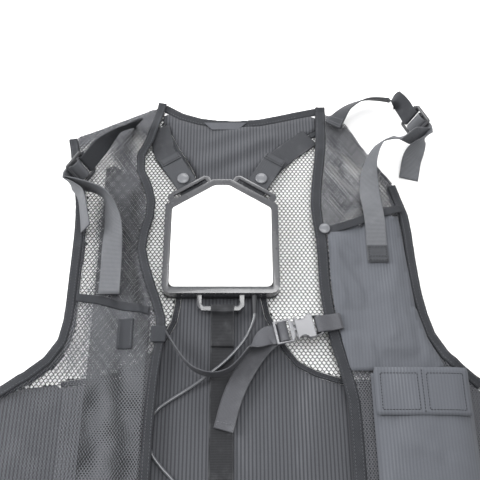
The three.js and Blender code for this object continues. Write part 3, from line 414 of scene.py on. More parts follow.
def grid(node, spacing, pad=0.002):
    low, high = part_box(node)
    size = high - low + Vector((pad, pad, 0)) * 2
    middle = (low + high) / 2
    count = [max(2, round(size[i] / spacing)) for i in (0, 1)]
    shape = bmesh.new()
    matrix = Matrix.Translation((middle.x, middle.y, 0)) @ Matrix.Diagonal((size.x / 2, size.y / 2, 1, 1))
    bmesh.ops.create_grid(shape, x_segments=count[0], y_segments=count[1], size=1, matrix=matrix)
    return shape


def clothFrom(node, name, look, spacing=4 * mm, lift=None, drop=0.0, thick=0.0, settle=4, body="vest",
              warp=None, gather_and_shade=None, ceiling=None):
    # A sheet laid over a CAD node
    solid = Solid(node)
    shape = grid(node, spacing)
    outside = []
    for vertex in shape.verts:
        height = solid.top(vertex.co.x, vertex.co.y)
        if height is None:
            outside.append(vertex)
        else:
            vertex.co.z = height
    bmesh.ops.delete(shape, geom=outside, context="VERTS")
    bmesh.ops.delete(shape, geom=[v for v in shape.verts if not v.link_faces], context="VERTS")
    border = [v for v in shape.verts if v.is_boundary]
    for vertex in border:
        near = solid.rim(*vertex.co)[0]
        inward = (vertex.co - near).to_2d()
        inward = inward.normalized() * 0.2 * mm if inward.length > 1e-6 else inward
        vertex.co.x, vertex.co.y = near.x, near.y
        height = solid.top(near.x + inward.x, near.y + inward.y)
        if height is not None:
            vertex.co.z = height
    inner = [v for v in shape.verts if not v.is_boundary]
    for _ in range(settle):
        bmesh.ops.smooth_vert(shape, verts=inner, factor=0.5, use_axis_z=True)
    flat = sum(face.calc_area() for face in shape.faces)
    # How much painted shade each vertex's threads get, and how far their holes close
    layer = shape.verts.layers.float.new("gather_and_shade")
    for vertex in shape.verts:
        x, y = vertex.co.to_2d()
        if gather_and_shade:
            vertex[layer] = max(0.0, min(1.0, gather_and_shade(x, y)))
        vertex.co.z += (lift(x, y) if lift else 0.0) - drop
        if ceiling:
            vertex.co.z = min(vertex.co.z, ceiling(x, y))
        if warp:
            vertex.co += warp(*((vertex.co - origin) / mm).to_2d())
    made = piece(name, meshOf(shape, name), look, body, (node,))
    if thick:
        modified(made, "SOLIDIFY", thickness=thick, offset=-1)
        for face in made.data.polygons:
            face.use_smooth = True


def softCopy(node, name, look, voxel=0.8 * mm, smooths=6, puff=0.15 * mm, lift=None, body="vest"):
    shape = cadShape(node)
    bmesh.ops.triangulate(shape, faces=shape.faces[:])
    made = piece(name, meshOf(shape, name), look, body, (node,))
    modified(made, "REMESH", mode="VOXEL", voxel_size=voxel, use_smooth_shade=True)
    shape = bmesh.new()
    shape.from_mesh(made.data)
    for step in range(smooths):
        bmesh.ops.smooth_vert(shape, verts=shape.verts[:], factor=0.5, use_axis_x=True, use_axis_y=True,
                              use_axis_z=True)
    shape.normal_update()
    for vertex in shape.verts:
        vertex.co += vertex.normal * puff
        if lift:
            vertex.co.z += lift(vertex.co.x, vertex.co.y)
    for face in shape.faces:
        face.smooth = True
    shape.to_mesh(made.data)
    shape.free()
    made.data.materials.clear()
    made.data.materials.append(looks[look])
    return made


def rings(node, width, thick):
    # The cross sections of a CAD ribbon in order: each as its middle, its direction across and its normal
    shape = cadShape(node, 0.0005 * mm)
    slack = 0.02 * mm
    thin = {}
    wide = {}
    for edge in shape.edges:
        a, b = edge.verts
        for store, length in ((thin, thick), (wide, width)):
            if abs(edge.calc_length() - length) < slack:
                store.setdefault(a, []).append(b)
                store.setdefault(b, []).append(a)
    found = {}
    for a, partners in thin.items():
        for b in partners:
            for c in wide.get(a, []):
                for d in wide.get(b, []):
                    if d in thin.get(c, []):
                        found[frozenset((a, b, c, d))] = (a, c, d, b)
    owner = {}
    for key, ring in found.items():
        for vertex in ring:
            owner.setdefault(vertex, []).append(key)
    keys = list(found)
    links = {key: set() for key in keys}
    for key in keys:
        for vertex in key:
            for edge in vertex.link_edges:
                other = edge.other_vert(vertex)
                if other not in key:
                    links[key].update(k for k in owner.get(other, []) if not (k & key))
    start = min((k for k in keys), key=lambda k: len(links[k]))
    order = [start]
    seen = {start}
    while True:
        step = [k for k in links[order[-1]] if k not in seen]
        if not step:
            break
        here = sum((v.co for v in order[-1]), Vector()) / 4
        step.sort(key=lambda k: (sum((v.co for v in k), Vector()) / 4 - here).length)
        order.append(step[0])
        seen.add(step[0])
    result = []
    for key in order:
        a, c, d, b = [v.co.copy() for v in found[key]]
        middle = (a + b + c + d) / 4
        across = ((c - a) + (d - b)).normalized()
        normal = ((b - a) + (d - c)).normalized()
        if result:
            if across.dot(result[-1][1]) < 0:
                across = -across
            if normal.dot(result[-1][2]) < 0:
                normal = -normal
        result.append((middle, across, normal))
    shape.free()
    return result


def spline(a, b, c, d, t):
    # Catmull-Rom between b and c
    bend, twist = 2 * a - 5 * b + 4 * c - d, 3 * b - a - 3 * c + d
    return 0.5 * (2 * b + (c - a) * t + bend * t * t + twist * t ** 3)


def refine(stations, parts):
    result = []
    count = len(stations)
    for i in range(count - 1):
        four = [stations[max(0, min(count - 1, i + k))] for k in (-1, 0, 1, 2)]
        for step in range(parts):
            t = step / parts
            middle = spline(*[s[0] for s in four], t)
            across = four[1][1].lerp(four[2][1], t).normalized()
            normal = four[1][2].lerp(four[2][2], t)
            normal = (normal - across * normal.dot(across)).normalized()
            result.append((middle, across, normal))
    result.append(stations[-1])
    return result


def bandProfile(width, thick):
    # The outline of a woven band: flat, with soft selvedges, as points across and out of it
    half, deep = width / 2, thick / 2
    selvedge = [(0, 0), (0.12, 0.62), (0.6, 0.95), (1.5, 1)]
    side = [(-half + x * mm, deep * y) for x, y in selvedge]
    inner = [(-half + 1.5 * mm + (width - 3 * mm) * k / 6, deep * 0.94) for k in range(1, 6)]
    top = side + inner + [(-x, y) for x, y in reversed(side)]
    return top + [(x, -y) for x, y in reversed(top[1:-1])]


def band(stations, name, look, width, thick, body="vest", nodes=(), ripple=0.0):
    profile = bandProfile(width, thick)
    shape = bmesh.new()
    layer = shape.loops.layers.uv.new("UVMap")
    length = 0.0
    loop = []
    place = {}
    first = stations[0]
    for x, y in profile:
        vertex = shape.verts.new(first[0] + first[1] * x + first[2] * y)
        place[vertex] = (x, 0.0)
        loop.append(vertex)
    edges = [shape.edges.new((loop[i], loop[(i + 1) % len(loop)])) for i in range(len(loop))]
    shape.faces.new(loop[::-1])
    for before, station in zip(stations, stations[1:]):
        middle, across, normal = station
        length += (middle - before[0]).length
        made = bmesh.ops.extrude_edge_only(shape, edges=edges)["geom"]
        edges = [e for e in made if isinstance(e, bmesh.types.BMEdge) and e.is_boundary]
        fresh = {v for v in made if isinstance(v, bmesh.types.BMVert)}
        nextLoop = []
        for old, (x, y) in zip(loop, profile):
            new = next(e.other_vert(old) for e in old.link_edges if e.other_vert(old) in fresh)
            wave = ripple * noise.noise(Vector((x * 90, length * 60, 3.0)))
            new.co = middle + across * x + normal * (y + wave)
            place[new] = (x, length)
            nextLoop.append(new)
        loop = nextLoop
        edges = [e for e in edges if all(v in fresh for v in e.verts)]
    shape.faces.new(loop)
    for face in shape.faces:
        for corner in face.loops:
            corner[layer].uv = place[corner.vert]
    bmesh.ops.recalc_face_normals(shape, faces=shape.faces[:])
    made = piece(name, meshOf(shape, name), look, body, nodes)
    return made, length


def beads(points, name, look, length=2.2 * mm, width=0.55 * mm, body="vest"):
    # Stitches: short raised threads, each given as its middle, its direction and the way up
    shape = bmesh.new()
    layer = shape.loops.layers.uv.new("UVMap")
    for middle, along, up in points:
        side = up.cross(along).normalized()
        turned = Matrix((along.normalized(), side, up)).transposed().to_4x4()
        turned.translation = middle
        sized = Matrix.Diagonal((length / 2, width / 2, width / 2, 1))
        bmesh.ops.create_icosphere(shape, subdivisions=1, radius=1, matrix=turned @ sized)
    for face in shape.faces:
        for corner in face.loops:
            corner[layer].uv = (corner.vert.co.x, corner.vert.co.y)
    return piece(name, meshOf(shape, name), look, body)


def measured(points):
    # Points with how far along each one lies
    far = [0.0]
    for a, b in zip(points, points[1:]):
        far.append(far[-1] + (b - a).length)
    return far


def longSides(node, inset, least=30 * mm, corner=50):
    # The long sides of a sewn strip, moved inwards: the lines that its stitches follow
    shape = cadShape(node)
    bmesh.ops.delete(shape, geom=[f for f in shape.faces if f.normal.z < 0.5], context="FACES")
    shape.edges.index_update()
    edges = {e for e in shape.edges if e.is_boundary}
    lines = []
    while edges:
        # Always the same first edge, as a set has no order of its own
        first = min(edges, key=lambda e: e.index)
        edges.discard(first)
        chain = list(first.verts)
        inward = [first.link_faces[0].calc_center_median() - (chain[0].co + chain[1].co) / 2]
        while True:
            step = next((e for e in chain[-1].link_edges if e in edges), None)
            if step is None:
                break
            edges.discard(step)
            chain.append(step.other_vert(chain[-1]))
            inward.append(step.link_faces[0].calc_center_median() - (chain[-1].co + chain[-2].co) / 2)
        points = [v.co.copy() for v in chain]
        ways = [(b - a).to_2d().normalized() for a, b in zip(points, points[1:]) if (b - a).length > 0]
        cuts = [i for i in range(1, len(ways)) if ways[i].angle(ways[i - 1], 0) > math.radians(corner)]
        for start, end in zip([0, *cuts], [*cuts, len(ways)]):
            part = points[start:end + 1]
            if measured(part)[-1] < least:
                continue
            moved = []
            for k, point in enumerate(part):
                way = ways[min(start + k, end - 1)]
                side = Vector((-way.y, way.x, 0))
                if side.dot(inward[min(start + k, end - 1)]) < 0:
                    side = -side
                moved.append(point + side * inset)
            lines.append(moved)
    shape.free()
    return lines


def spaced(points, spacing, trim=0.0):
    far = measured(points)
    count = max(1, int((far[-1] - 2 * trim) / spacing))
    result = []
    k = 0
    for i in range(count):
        want = trim + (i + 0.5) * (far[-1] - 2 * trim) / count
        while k < len(far) - 2 and far[k + 1] < want:
            k += 1
        share = (want - far[k]) / max(far[k + 1] - far[k], 1e-9)
        result.append((points[k].lerp(points[k + 1], share), (points[k + 1] - points[k]).normalized()))
    return result


def surfaceOf(made):
    mesh = made.data
    return BVHTree.FromPolygons([v.co for v in mesh.vertices], [p.vertices for p in mesh.polygons])


def seamStitches(node, made, name, look="bindThread", inset=2.3 * mm, spacing=3.3 * mm, body="vest"):
    # A row of stitches along each long side of a sewn strip, lying on its finished surface
    surface = surfaceOf(made)
    threads = []
    for line in longSides(node, inset):
        for point, along in spaced(line, spacing, 3 * mm):
            hit, normal = surface.ray_cast(Vector((point.x, point.y, point.z + 0.01)), down)[:2]
            if hit and normal.z > 0.3:
                level = (along - normal * along.dot(normal)).normalized()
                threads.append((hit + normal * 0.08 * mm, level, normal))
    if threads:
        beads(threads, name, look, 2.3 * mm, 0.5 * mm, body)


class Band:
    # A finished strap's own line, to sew ends and stitches on
    def __init__(self, stations, end):
        first, last = stations[0][0], stations[-1][0]
        backwards = (first.y > last.y) if end == "low" else (first.y < last.y)
        self.stations = stations[::-1] if backwards else stations
        self.far = measured([s[0] for s in self.stations])

    def at(self, far, across=0.0, lift=0.0):
        k = 0
        while k < len(self.far) - 2 and self.far[k + 1] < far:
            k += 1
        share = min(1.0, (far - self.far[k]) / max(self.far[k + 1] - self.far[k], 1e-9))
        a, b = self.stations[k], self.stations[k + 1]
        side, up = a[1].lerp(b[1], share).normalized(), a[2].lerp(b[2], share).normalized()
        if up.z < 0:
            up = -up
        along = (b[0] - a[0]).normalized()
        return a[0].lerp(b[0], share) + side * across + up * lift, along, side, up

    def part(self, start, end, lift, steps=10):
        result = []
        for k in range(steps + 1):
            middle, along, side, up = self.at(start + (end - start) * k / steps, 0, lift)
            result.append((middle, side, up))
        return result

    def box(self, start, end, width, lift, spacing=2.8 * mm, rows=(0.0, 1.0)):
        # Stitches round a sewn patch: along both sides and across at the given shares of its length
        threads = []
        half = width / 2 - 2 * mm
        for side in (-half, half):
            count = max(2, round((end - start) / spacing))
            for k in range(count):
                middle, along, across, up = self.at(start + (end - start) * (k + 0.5) / count, side, lift)
                threads.append((middle, along, up))
        for row in rows:
            count = max(2, round(2 * half / spacing))
            for k in range(count):
                middle, along, across, up = self.at(start + (end - start) * row,
                                                    -half + 2 * half * (k + 0.5) / count, lift)
                threads.append((middle, across, up))
        return threads


def refined(node, name, look, bevel=0.5 * mm, segments=3, angle=28, body="vest"):
    # A CAD piece with its sharp edges rounded
    shape = cadShape(node)
    bmesh.ops.dissolve_limit(shape, angle_limit=math.radians(1), verts=shape.verts[:], edges=shape.edges[:])
    sharp = [e for e in shape.edges if len(e.link_faces) == 2 and e.calc_face_angle(0) > math.radians(angle)]
    bmesh.ops.bevel(shape, geom=sharp, offset=bevel, offset_type="OFFSET", segments=segments, profile=0.5,
                    affect="EDGES", clamp_overlap=True, material=-1)
    bmesh.ops.triangulate(shape, faces=[f for f in shape.faces if len(f.verts) > 4])
    return piece(name, meshOf(shape, name), look, body, (node,))


print("tools")

# ---------- power lead: laid on the back, wound round, and ended in its plug ----------

lead = {"diameter": 3.4 * mm, "coil radius": 19, "lane": 2.69, "coil height": 5.8, "coil turns": 3.25}
leadRoute = [
    (15, -86.5, 11.6), (15, -89.4, 11.6), (14.6, -93, 11), (12.5, -100, 9.2), (8.6, -108, 6.6), (3, -117, 6),
    (-4.5, -126.5, 6), (-13.5, -136, 6), (-22.5, -143.8, 6), (-32, -151, 5.9), (-41, -157.8, 5),
    (-55, -167, 3.6), (-70, -176.5, 3.6), (-80, -184, 3.6), (-87, -193, 3.6), (-90, -204, 3.6),
    (-88, -216, 3.6), (-83, -228, 3.6),
    (-74, -239, 3.6), (-64, -249, 3.6), (-55.5, -259.5, 3.6), (-51, -268, 3.6), (-50.6, -276.8, 3.7),
]
coilMiddle = (-31, -292)
plugEntry = (-12, -311, 5.4)


def coilPoint(share):
    # The section of the wound turns rolls a quarter turn as each pass meets the next
    angle = math.pi + share * lead["coil turns"] * 2 * math.pi
    passed = share * lead["coil turns"]
    roll = math.floor(passed) + max(0, (passed % 1) - 0.8) / 0.2
    section = -math.pi / 4 - min(roll, 3) * math.pi / 2
    radius = lead["coil radius"] + lead["lane"] * math.cos(section)
    height = lead["coil height"] + lead["lane"] * math.sin(section)
    return (coilMiddle[0] + radius * math.cos(angle), coilMiddle[1] + radius * math.sin(angle), height)


coilSteps = 96
wound = [coilPoint((k + 3) / (coilSteps + 3)) for k in range(coilSteps - 1)]
leadPath = [at(*p) for p in leadRoute + wound + [(-24, -312.6, 6.6), (-18, -311.4, 5.8), plugEntry]]
leadPoints = []
for i in range(len(leadPath) - 1):
    four = [leadPath[max(0, min(len(leadPath) - 1, i + k))] for k in (-1, 0, 1, 2)]
    steps = max(1, round((four[2] - four[1]).length / (2.5 * mm)))
    leadPoints += [spline(*four, k / steps) for k in range(steps)]
leadPoints.append(leadPath[-1])
leadCurve = bpy.data.curves.new("power_lead_jacket", "CURVE")
leadCurve.dimensions = "3D"
leadCurve.bevel_depth = lead["diameter"] / 2
leadCurve.bevel_resolution = 5
leadCurve.use_fill_caps = True
run = leadCurve.splines.new("POLY")
run.points.add(len(leadPoints) - 1)
for point, spot in zip(run.points, leadPoints):
    point.co = (*spot, 1)
leadCurve.materials.append(looks["cable"])
leadPiece = bpy.data.objects.new("power_lead_jacket", leadCurve)
scene.collection.objects.link(leadPiece)
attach(leadPiece, "vest")
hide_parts("power_lead", "lead_coil")

gland = refined("cable_gland", "lead_gland", "gland", 0.3 * mm, 2)
plug = refined("lead_plug", "lead_plug_body", "cable", 0.8 * mm, 3)

# ---------- how the cloth creases ----------

# Folds in the fronts, each from one point of the cut to another, with its half width and its height
leftFolds = [
    (-124, 146, -112, 92, 5, 4.2), (-112, 92, -104, 40, 5, 3.2), (-140, 120, -118, 60, 6, -3.6),
    (-118, 60, -108, -20, 5, 3.4), (-150, 40, -140, -60, 7, -3.4), (-126, 10, -104, -70, 5, 3.6),
    (-116, -40, -96, -120, 5, 3.2), (-108, -30, -98, -80, 4, -3.0), (-150, 128, -190, 116, 5, 2.6),
    (-160, 110, -140, 84, 5, 2.8), (-130, -60, -112, -150, 5, -2.8), (-170, 60, -166, -60, 5, 2.4),
    (-230, -190, -130, -230, 9, 2.4), (-210, -260, -110, -280, 9, 2.2), (-150, -180, -160, -330, 7, 2.2),
    (-120, -150, -110, -300, 6, 2.6), (-136, -160, -130, -320, 5, -2.4),
]
rightFolds = [
    (98, 118, 140, 66, 5, 3.6), (96, 92, 132, 40, 5, 3.0), (100, 66, 160, 24, 5, -3.2),
    (112, 104, 168, 56, 4, 3.2), (96, 48, 120, 16, 4, 3.0), (130, 58, 172, 30, 5, 3.2),
    (108, 132, 116, 70, 5, -3.0), (160, 62, 178, 4, 5, 3.0),
    (112, 34, 166, 40, 4, -2.6), (104, 80, 150, 84, 4, 2.4), (120, 20, 150, 50, 4, 2.6),
    (110, -170, 120, -330, 7, 2.4),
]


def folds(x, y, creases):
    spot = Vector((x, y, 0))
    wobble = noise.noise(spot * 0.03) * 5
    total = 0.0
    for x0, y0, x1, y1, width, height in creases:
        line = Vector((x1 - x0, y1 - y0))
        along = ((x - x0) * line.x + (y - y0) * line.y) / line.length_squared
        fade = max(0.0, min(1.0, min(along + 0.15, 1.15 - along) / 0.3))
        if fade <= 0:
            continue
        away = ((x - x0) * line.y - (y - y0) * line.x) / line.length + wobble
        total += height * fade * math.exp(-((away / width) ** 2))
    return total


def crumple(creases, solid, reach=14, height=1.3, grain=42):
    # The cloth's own unevenness, which fades to nothing at the sewn edges
    def lift(x, y):
        spot = (Vector((x, y, 0)) - Vector((origin.x, origin.y, 0))) / mm
        distance = solid.rim(x, y, (solid.low.z + solid.high.z) / 2)[3] / mm
        fade = min(1.0, distance / reach)
        fade = fade * fade * (3 - 2 * fade)
        rough = noise.noise(spot / grain) * height + noise.noise(spot / 13) * height * 0.35
        return fade * (folds(spot.x, spot.y, creases) + rough) * mm
    return lift


def gatherAndShade(creases, base):
    # Deep between the folds, open on their crests: how much painted shade the threads get, and how far the
    # holes close
    def amount(x, y):
        x, y = (Vector((x, y)) - origin.to_2d()) / mm
        return base(x, y) - folds(x, y, creases) * 0.18 + noise.noise(Vector((x, y, 40)) / 24) * 0.25
    return amount


# The painted shade each front's threads get before its folds, with the closing of their holes: on the left
# towards the middle and along the shoulder, on the right most above the chest
def leftBase(x, y):
    inward = max(0.0, min(1.0, (x + 158) / 14))
    shoulder = max(0.0, min(1.0, (y - 108 - (x + 190) * 0.25) / 14))
    return 0.05 + 0.5 * inward * (1 if y > -90 else 0.6) + shoulder


def rightBase(x, y):
    return 0.78 if y > 20 else 0.5


gatherAndShades = {"left": gatherAndShade(leftFolds, leftBase), "right": gatherAndShade(rightFolds, rightBase)}
panels = {"left": Solid("front_panel_left"), "right": Solid("front_panel_right")}
lifts = {"left": crumple(leftFolds, panels["left"]), "right": crumple(rightFolds, panels["right"])}

# ---------- the back ----------


yokeFolds = [(-50, 92, 50, 136, 9, 4.5), (-12, 80, 44, 104, 8, 3.2), (-44, 122, 10, 146, 8, 2.4)]


def backUnevenness(solid, height):
    rise = crumple([], solid, 20, height, 60)

    def lift(x, y):
        across, up = ((Vector((x, y)) - origin.to_2d()) / mm)
        return folds(across, up, yokeFolds) * mm - abs(rise(x, y))
    return lift


clothFrom("back_panel", "back_cloth", "yoke", 4 * mm, backUnevenness(Solid("back_panel"), 0.5),
          thick=0.7 * mm)


net = {"cell width": 4.5, "cell height": 5.3, "upright": 1.1, "strand": 0.62, "thick": 0.6}


def strandMesh(node, name):
    # A real net: hexagonal cells on a staggered grid, each inset by half a strand and opened
    solid = Solid(node)
    low, high = solid.low, solid.high
    wide, tall, strand = net["cell width"], net["cell height"], net["strand"]
    shape = bmesh.new()
    columns = int((high.x - low.x) / mm / wide) + 3
    rowStep = (tall + net["upright"]) / 2
    lines = int((high.y - low.y) / mm / rowStep) + 3
    for row in range(lines):
        for column in range(columns):
            x = low.x / mm + (column + (row % 2) / 2) * wide - wide
            y = low.y / mm + row * rowStep - rowStep
            outside = solid.top(x * mm, y * mm) is None
            if outside and solid.rim(x * mm, y * mm, high.z)[3] > wide * 0.45 * mm:
                continue
            sized = Matrix.Diagonal((wide / math.sqrt(3) * mm, tall / 2 * mm, 1, 1))
            turned = Matrix.Translation(Vector((x, y, 0)) * mm) @ sized
            ring = bmesh.ops.create_circle(shape, cap_ends=True, segments=6, radius=1, matrix=turned)["verts"]
            for vertex in ring:
                if abs(vertex.co.x / mm - x) > 0.1:
                    vertex.co.y = (y + math.copysign(net["upright"] / 2, vertex.co.y / mm - y)) * mm
    bmesh.ops.remove_doubles(shape, verts=shape.verts[:], dist=0.35 * mm)
    for vertex in [v for v in shape.verts if solid.top(v.co.x, v.co.y) is None]:
        near = solid.rim(vertex.co.x, vertex.co.y, high.z)[0]
        vertex.co.x, vertex.co.y = near.x, near.y
    bmesh.ops.remove_doubles(shape, verts=shape.verts[:], dist=0.6 * mm)
    bmesh.ops.dissolve_degenerate(shape, dist=0.05 * mm, edges=shape.edges[:])
    whole = 0.5 * wide * rowStep * mm * mm
    open_ = [f for f in shape.faces if f.calc_area() > whole]
    closed = {f for f in shape.faces if f.calc_area() <= whole}
    inner = bmesh.ops.inset_individual(shape, faces=open_, thickness=strand / 2 * mm, use_even_offset=True)
    rims = set(inner["faces"]) | closed
    bmesh.ops.delete(shape, geom=[f for f in shape.faces if f not in rims], context="FACES")
    for vertex in shape.verts:
        vertex.co.z = high.z - 0.2 * mm
    stray = [f for f in shape.faces
             if max((v.co - f.calc_center_median()).length for v in f.verts) > wide * mm]
    bmesh.ops.delete(shape, geom=stray, context="FACES")
    flat = sum(f.calc_area() for f in shape.faces)
    made = piece(name, meshOf(shape, name), "strand", "vest", (node,))
    modified(made, "SOLIDIFY", thickness=net["thick"] * mm, offset=-1)
    return made, flat


for side in ("left", "right"):
    made, area = strandMesh("back_mesh_" + side, "back_net_" + side)
    print("net", side, len(made.data.polygons), round(area, 4))
print("back")

# ---------- the fronts ----------

for side in ("left", "right"):
    clothFrom("front_panel_" + side, "front_cloth_" + side, "front", 3 * mm, lifts[side], drop=0.8 * mm,
              gather_and_shade=gatherAndShades[side])
clothFrom("lining_left", "lining_cloth_left", "lining_and_shade", 5 * mm, lifts["left"], drop=0.8 * mm)
# The pocket's threads get a little painted shade, and its holes close a little, towards the middle
clothFrom("mesh_pocket_left", "pocket_cloth_left", "pocket", 4 * mm, lifts["left"], drop=0.2 * mm,
          gather_and_shade=gatherAndShade(leftFolds, lambda x, y: 0.0 if x < -158 else 0.25))
pocketFolds = [
    (94, -10, 130, -78, 5, 3.6), (94, -14, 116, -112, 5, 3.4), (98, -30, 106, -130, 4, -2.4),
    (102, -12, 124, -34, 4, 2.4), (165, -60, 205, -130, 7, 3.6), (178, -80, 186, -138, 6, 2.6),
    (128, -86, 134, -138, 6, 3.2), (150, -64, 152, -130, 8, 2.4),
]
pocketLift = crumple(pocketFolds, Solid("chest_pocket_right"), 8, 1.4, 36)


loopLow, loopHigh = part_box("chest_loop_right")
loopSlide = Vector((0.979, 0.204)) * 22 * mm


def underLoop(x, y, clearance=1.1, slope=0.3):
    # The opened buckle's loop slides over the pocket, which lies flat where it passes
    spot = Vector((x, y))
    share = max(0.0, min(1.0, (spot - loopHigh.to_2d()).dot(loopSlide) / loopSlide.length_squared + 1))
    low, high = loopLow.to_2d() + loopSlide * share, loopHigh.to_2d() + loopSlide * share
    past = [max(low[i] - spot[i], 0, spot[i] - high[i]) for i in (0, 1)]
    return loopLow.z - clearance * mm + slope * math.hypot(*past)


def pocketReach(x, y):
    # The top edge reaches up under the band, and the bottom edge down under the flap
    upper = max(0.0, min(1.0, (y + 30 - (x - 88) * 0.33) / 26))
    lower = max(0.0, min(1.0, (-110 - y) / 30))
    return Vector((0, upper * (11 - (x - 88) * 0.08) - lower * 7, 0)) * mm


clothFrom("chest_pocket_right", "chest_pocket_cloth", "skirt", 3 * mm, pocketLift, settle=6,
          thick=0.7 * mm, warp=pocketReach, ceiling=underLoop)
lowerLift = crumple([(140, -210, 210, -240, 8, 1.5)], Solid("lower_pocket_right"), 8, 1.4, 36)
clothFrom("lower_pocket_right", "lower_pocket_cloth", "skirt", 4 * mm, lowerLift, settle=6,
          thick=0.7 * mm)
flapLift = crumple([], Solid("pocket_flap_right"), 6, 0.8, 30)
clothFrom("pocket_flap_right", "pocket_flap_cloth", "skirt", 3 * mm, flapLift, settle=2,
          body="pocket_flap", thick=1.2 * mm)
flapCloth = surfaceOf(bpy.data.objects["pocket_flap_cloth"])
flapRows = [((lowX, -153), (highX, -153), (highX, -188), (lowX, -188), (lowX, -153))
            for lowX, highX in ((136, 172), (181, 217))] + [((176.5, -149), (176.5, -191))]
flapThreads = []
for row in flapRows:
    for start, end in zip(row, row[1:]):
        for point, along in spaced([at(*start), at(*end)], 2.9 * mm):
            hit, normal = flapCloth.ray_cast(point + Vector((0, 0, 0.1)), down)[:2]
            if hit:
                flapThreads.append((hit + normal * 0.1 * mm, along, normal))
beads(flapThreads, "pocket_flap_stitches", "darkThread", 2.4 * mm, 0.8 * mm, "pocket_flap")
print("fronts")

# ---------- bindings, tapes and small sewn pieces ----------

for node in ("back_seam_tape_left", "back_seam_tape_right", "neck_binding", "hem_binding",
             "back_armhole_binding_left", "back_armhole_binding_right", "front_edge_binding_left",
             "front_edge_binding_right", "armhole_binding_left", "armhole_binding_right"):
    tape = softCopy(node, node + "_tape", "binding")
    seamStitches(node, tape, node + "_stitches", inset=(1.6 if "seam" in node else 2.3) * mm)
softCopy("pocket_binding_left", "pocket_top_tape", "binding", 0.7 * mm, lift=lifts["left"])
patch = softCopy("pocket_patch_left", "pocket_patch", "patch", 0.6 * mm, lift=lifts["left"])
seamStitches("pocket_patch_left", patch, "pocket_patch_stitches", "thread", 2 * mm, 2.8 * mm)
tab = softCopy("chest_tab_left", "chest_strap_tab", "patch", 0.6 * mm)
seamStitches("chest_tab_left", tab, "chest_tab_stitches", "thread", 2 * mm, 2.8 * mm)
softCopy("neck_label", "neck_label_cloth", "label", 0.6 * mm, 3)
print("bindings")

# ---------- webbing ----------

webThick = 1.4 * mm
webs = {}
for node, look, width, body, slot in (
    ("suspension_strap_left", "dark", 25, "vest", "darkWebbing"),
    ("suspension_strap_right", "dark", 25, "vest", "darkWebbing"),
    ("snap_flap_left", "flap", 25, "flap_left", "paleWebbing"),
    ("snap_flap_right", "flap", 25, "flap_right", "paleWebbing"),
    ("centre_webbing", "centre", 24, "vest", "darkWebbing"),
    ("shoulder_strap_left", "dark", 22, "vest", "darkWebbing"),
    ("shoulder_strap_right", "dark", 22, "vest", "darkWebbing"),
    ("adjuster_strap_left", "strap", 22, "vest", "webbing"),
    ("adjuster_strap_right", "strap", 22, "vest", "webbing"),
    ("chest_strap", "chest", 20, "vest", "webbing"),
    ("chest_loop_right", "chest", 17, "buckle_socket", "webbing"),
    ("pocket_band_right", "binding", 9, "vest", "binding"),
):
    stations = refine(rings(node, width * mm, webThick), 3)
    webs[node] = stations
    _, length = band(stations, node + "_web", look, width * mm, webThick * 0.95, body, (node,),
                         0.12 * mm)
    print(node, len(stations), round(length, 3))

# Sewn ends: a second layer on the strap's end, and stitches round it
for node, end, look, width, length, body, thread in (
    ("adjuster_strap_right", "low", "flap", 22, 19, "vest", "darkThread"),
    ("snap_flap_left", "high", "flap", 25, 8, "flap_left", "darkThread"),
    ("snap_flap_right", "high", "flap", 25, 8, "flap_right", "darkThread"),
    ("chest_strap", "low", "chest", 20, 9, "vest", "thread"),
    ("shoulder_strap_left", "high", "dark", 22, 14, "vest", "thread"),
    ("shoulder_strap_right", "low", "dark", 22, 12, "vest", "thread"),
):
    sewn = Band(webs[node], end)
    layer = 0.9 * mm
    lift = webThick / 2 + layer / 2
    start = 0.4 * mm
    band(sewn.part(start, start + length * mm, lift), node + "_end", look, (width - 0.3) * mm, layer, body)
    rows = (0.04, 0.3, 0.92) if length > 10 else (0.8,)
    threads = sewn.box(start + 1 * mm, start + (length - 1) * mm, width * mm, lift + layer / 2, rows=rows)
    beads(threads, node + "_end_stitches", thread, 2.3 * mm, 0.8 * mm, body)
print("webbing")

# ---------- pod, locks and buckle ----------

refined("pod_frame", "pod_frame_shell", "frame", 0.9 * mm, 4)


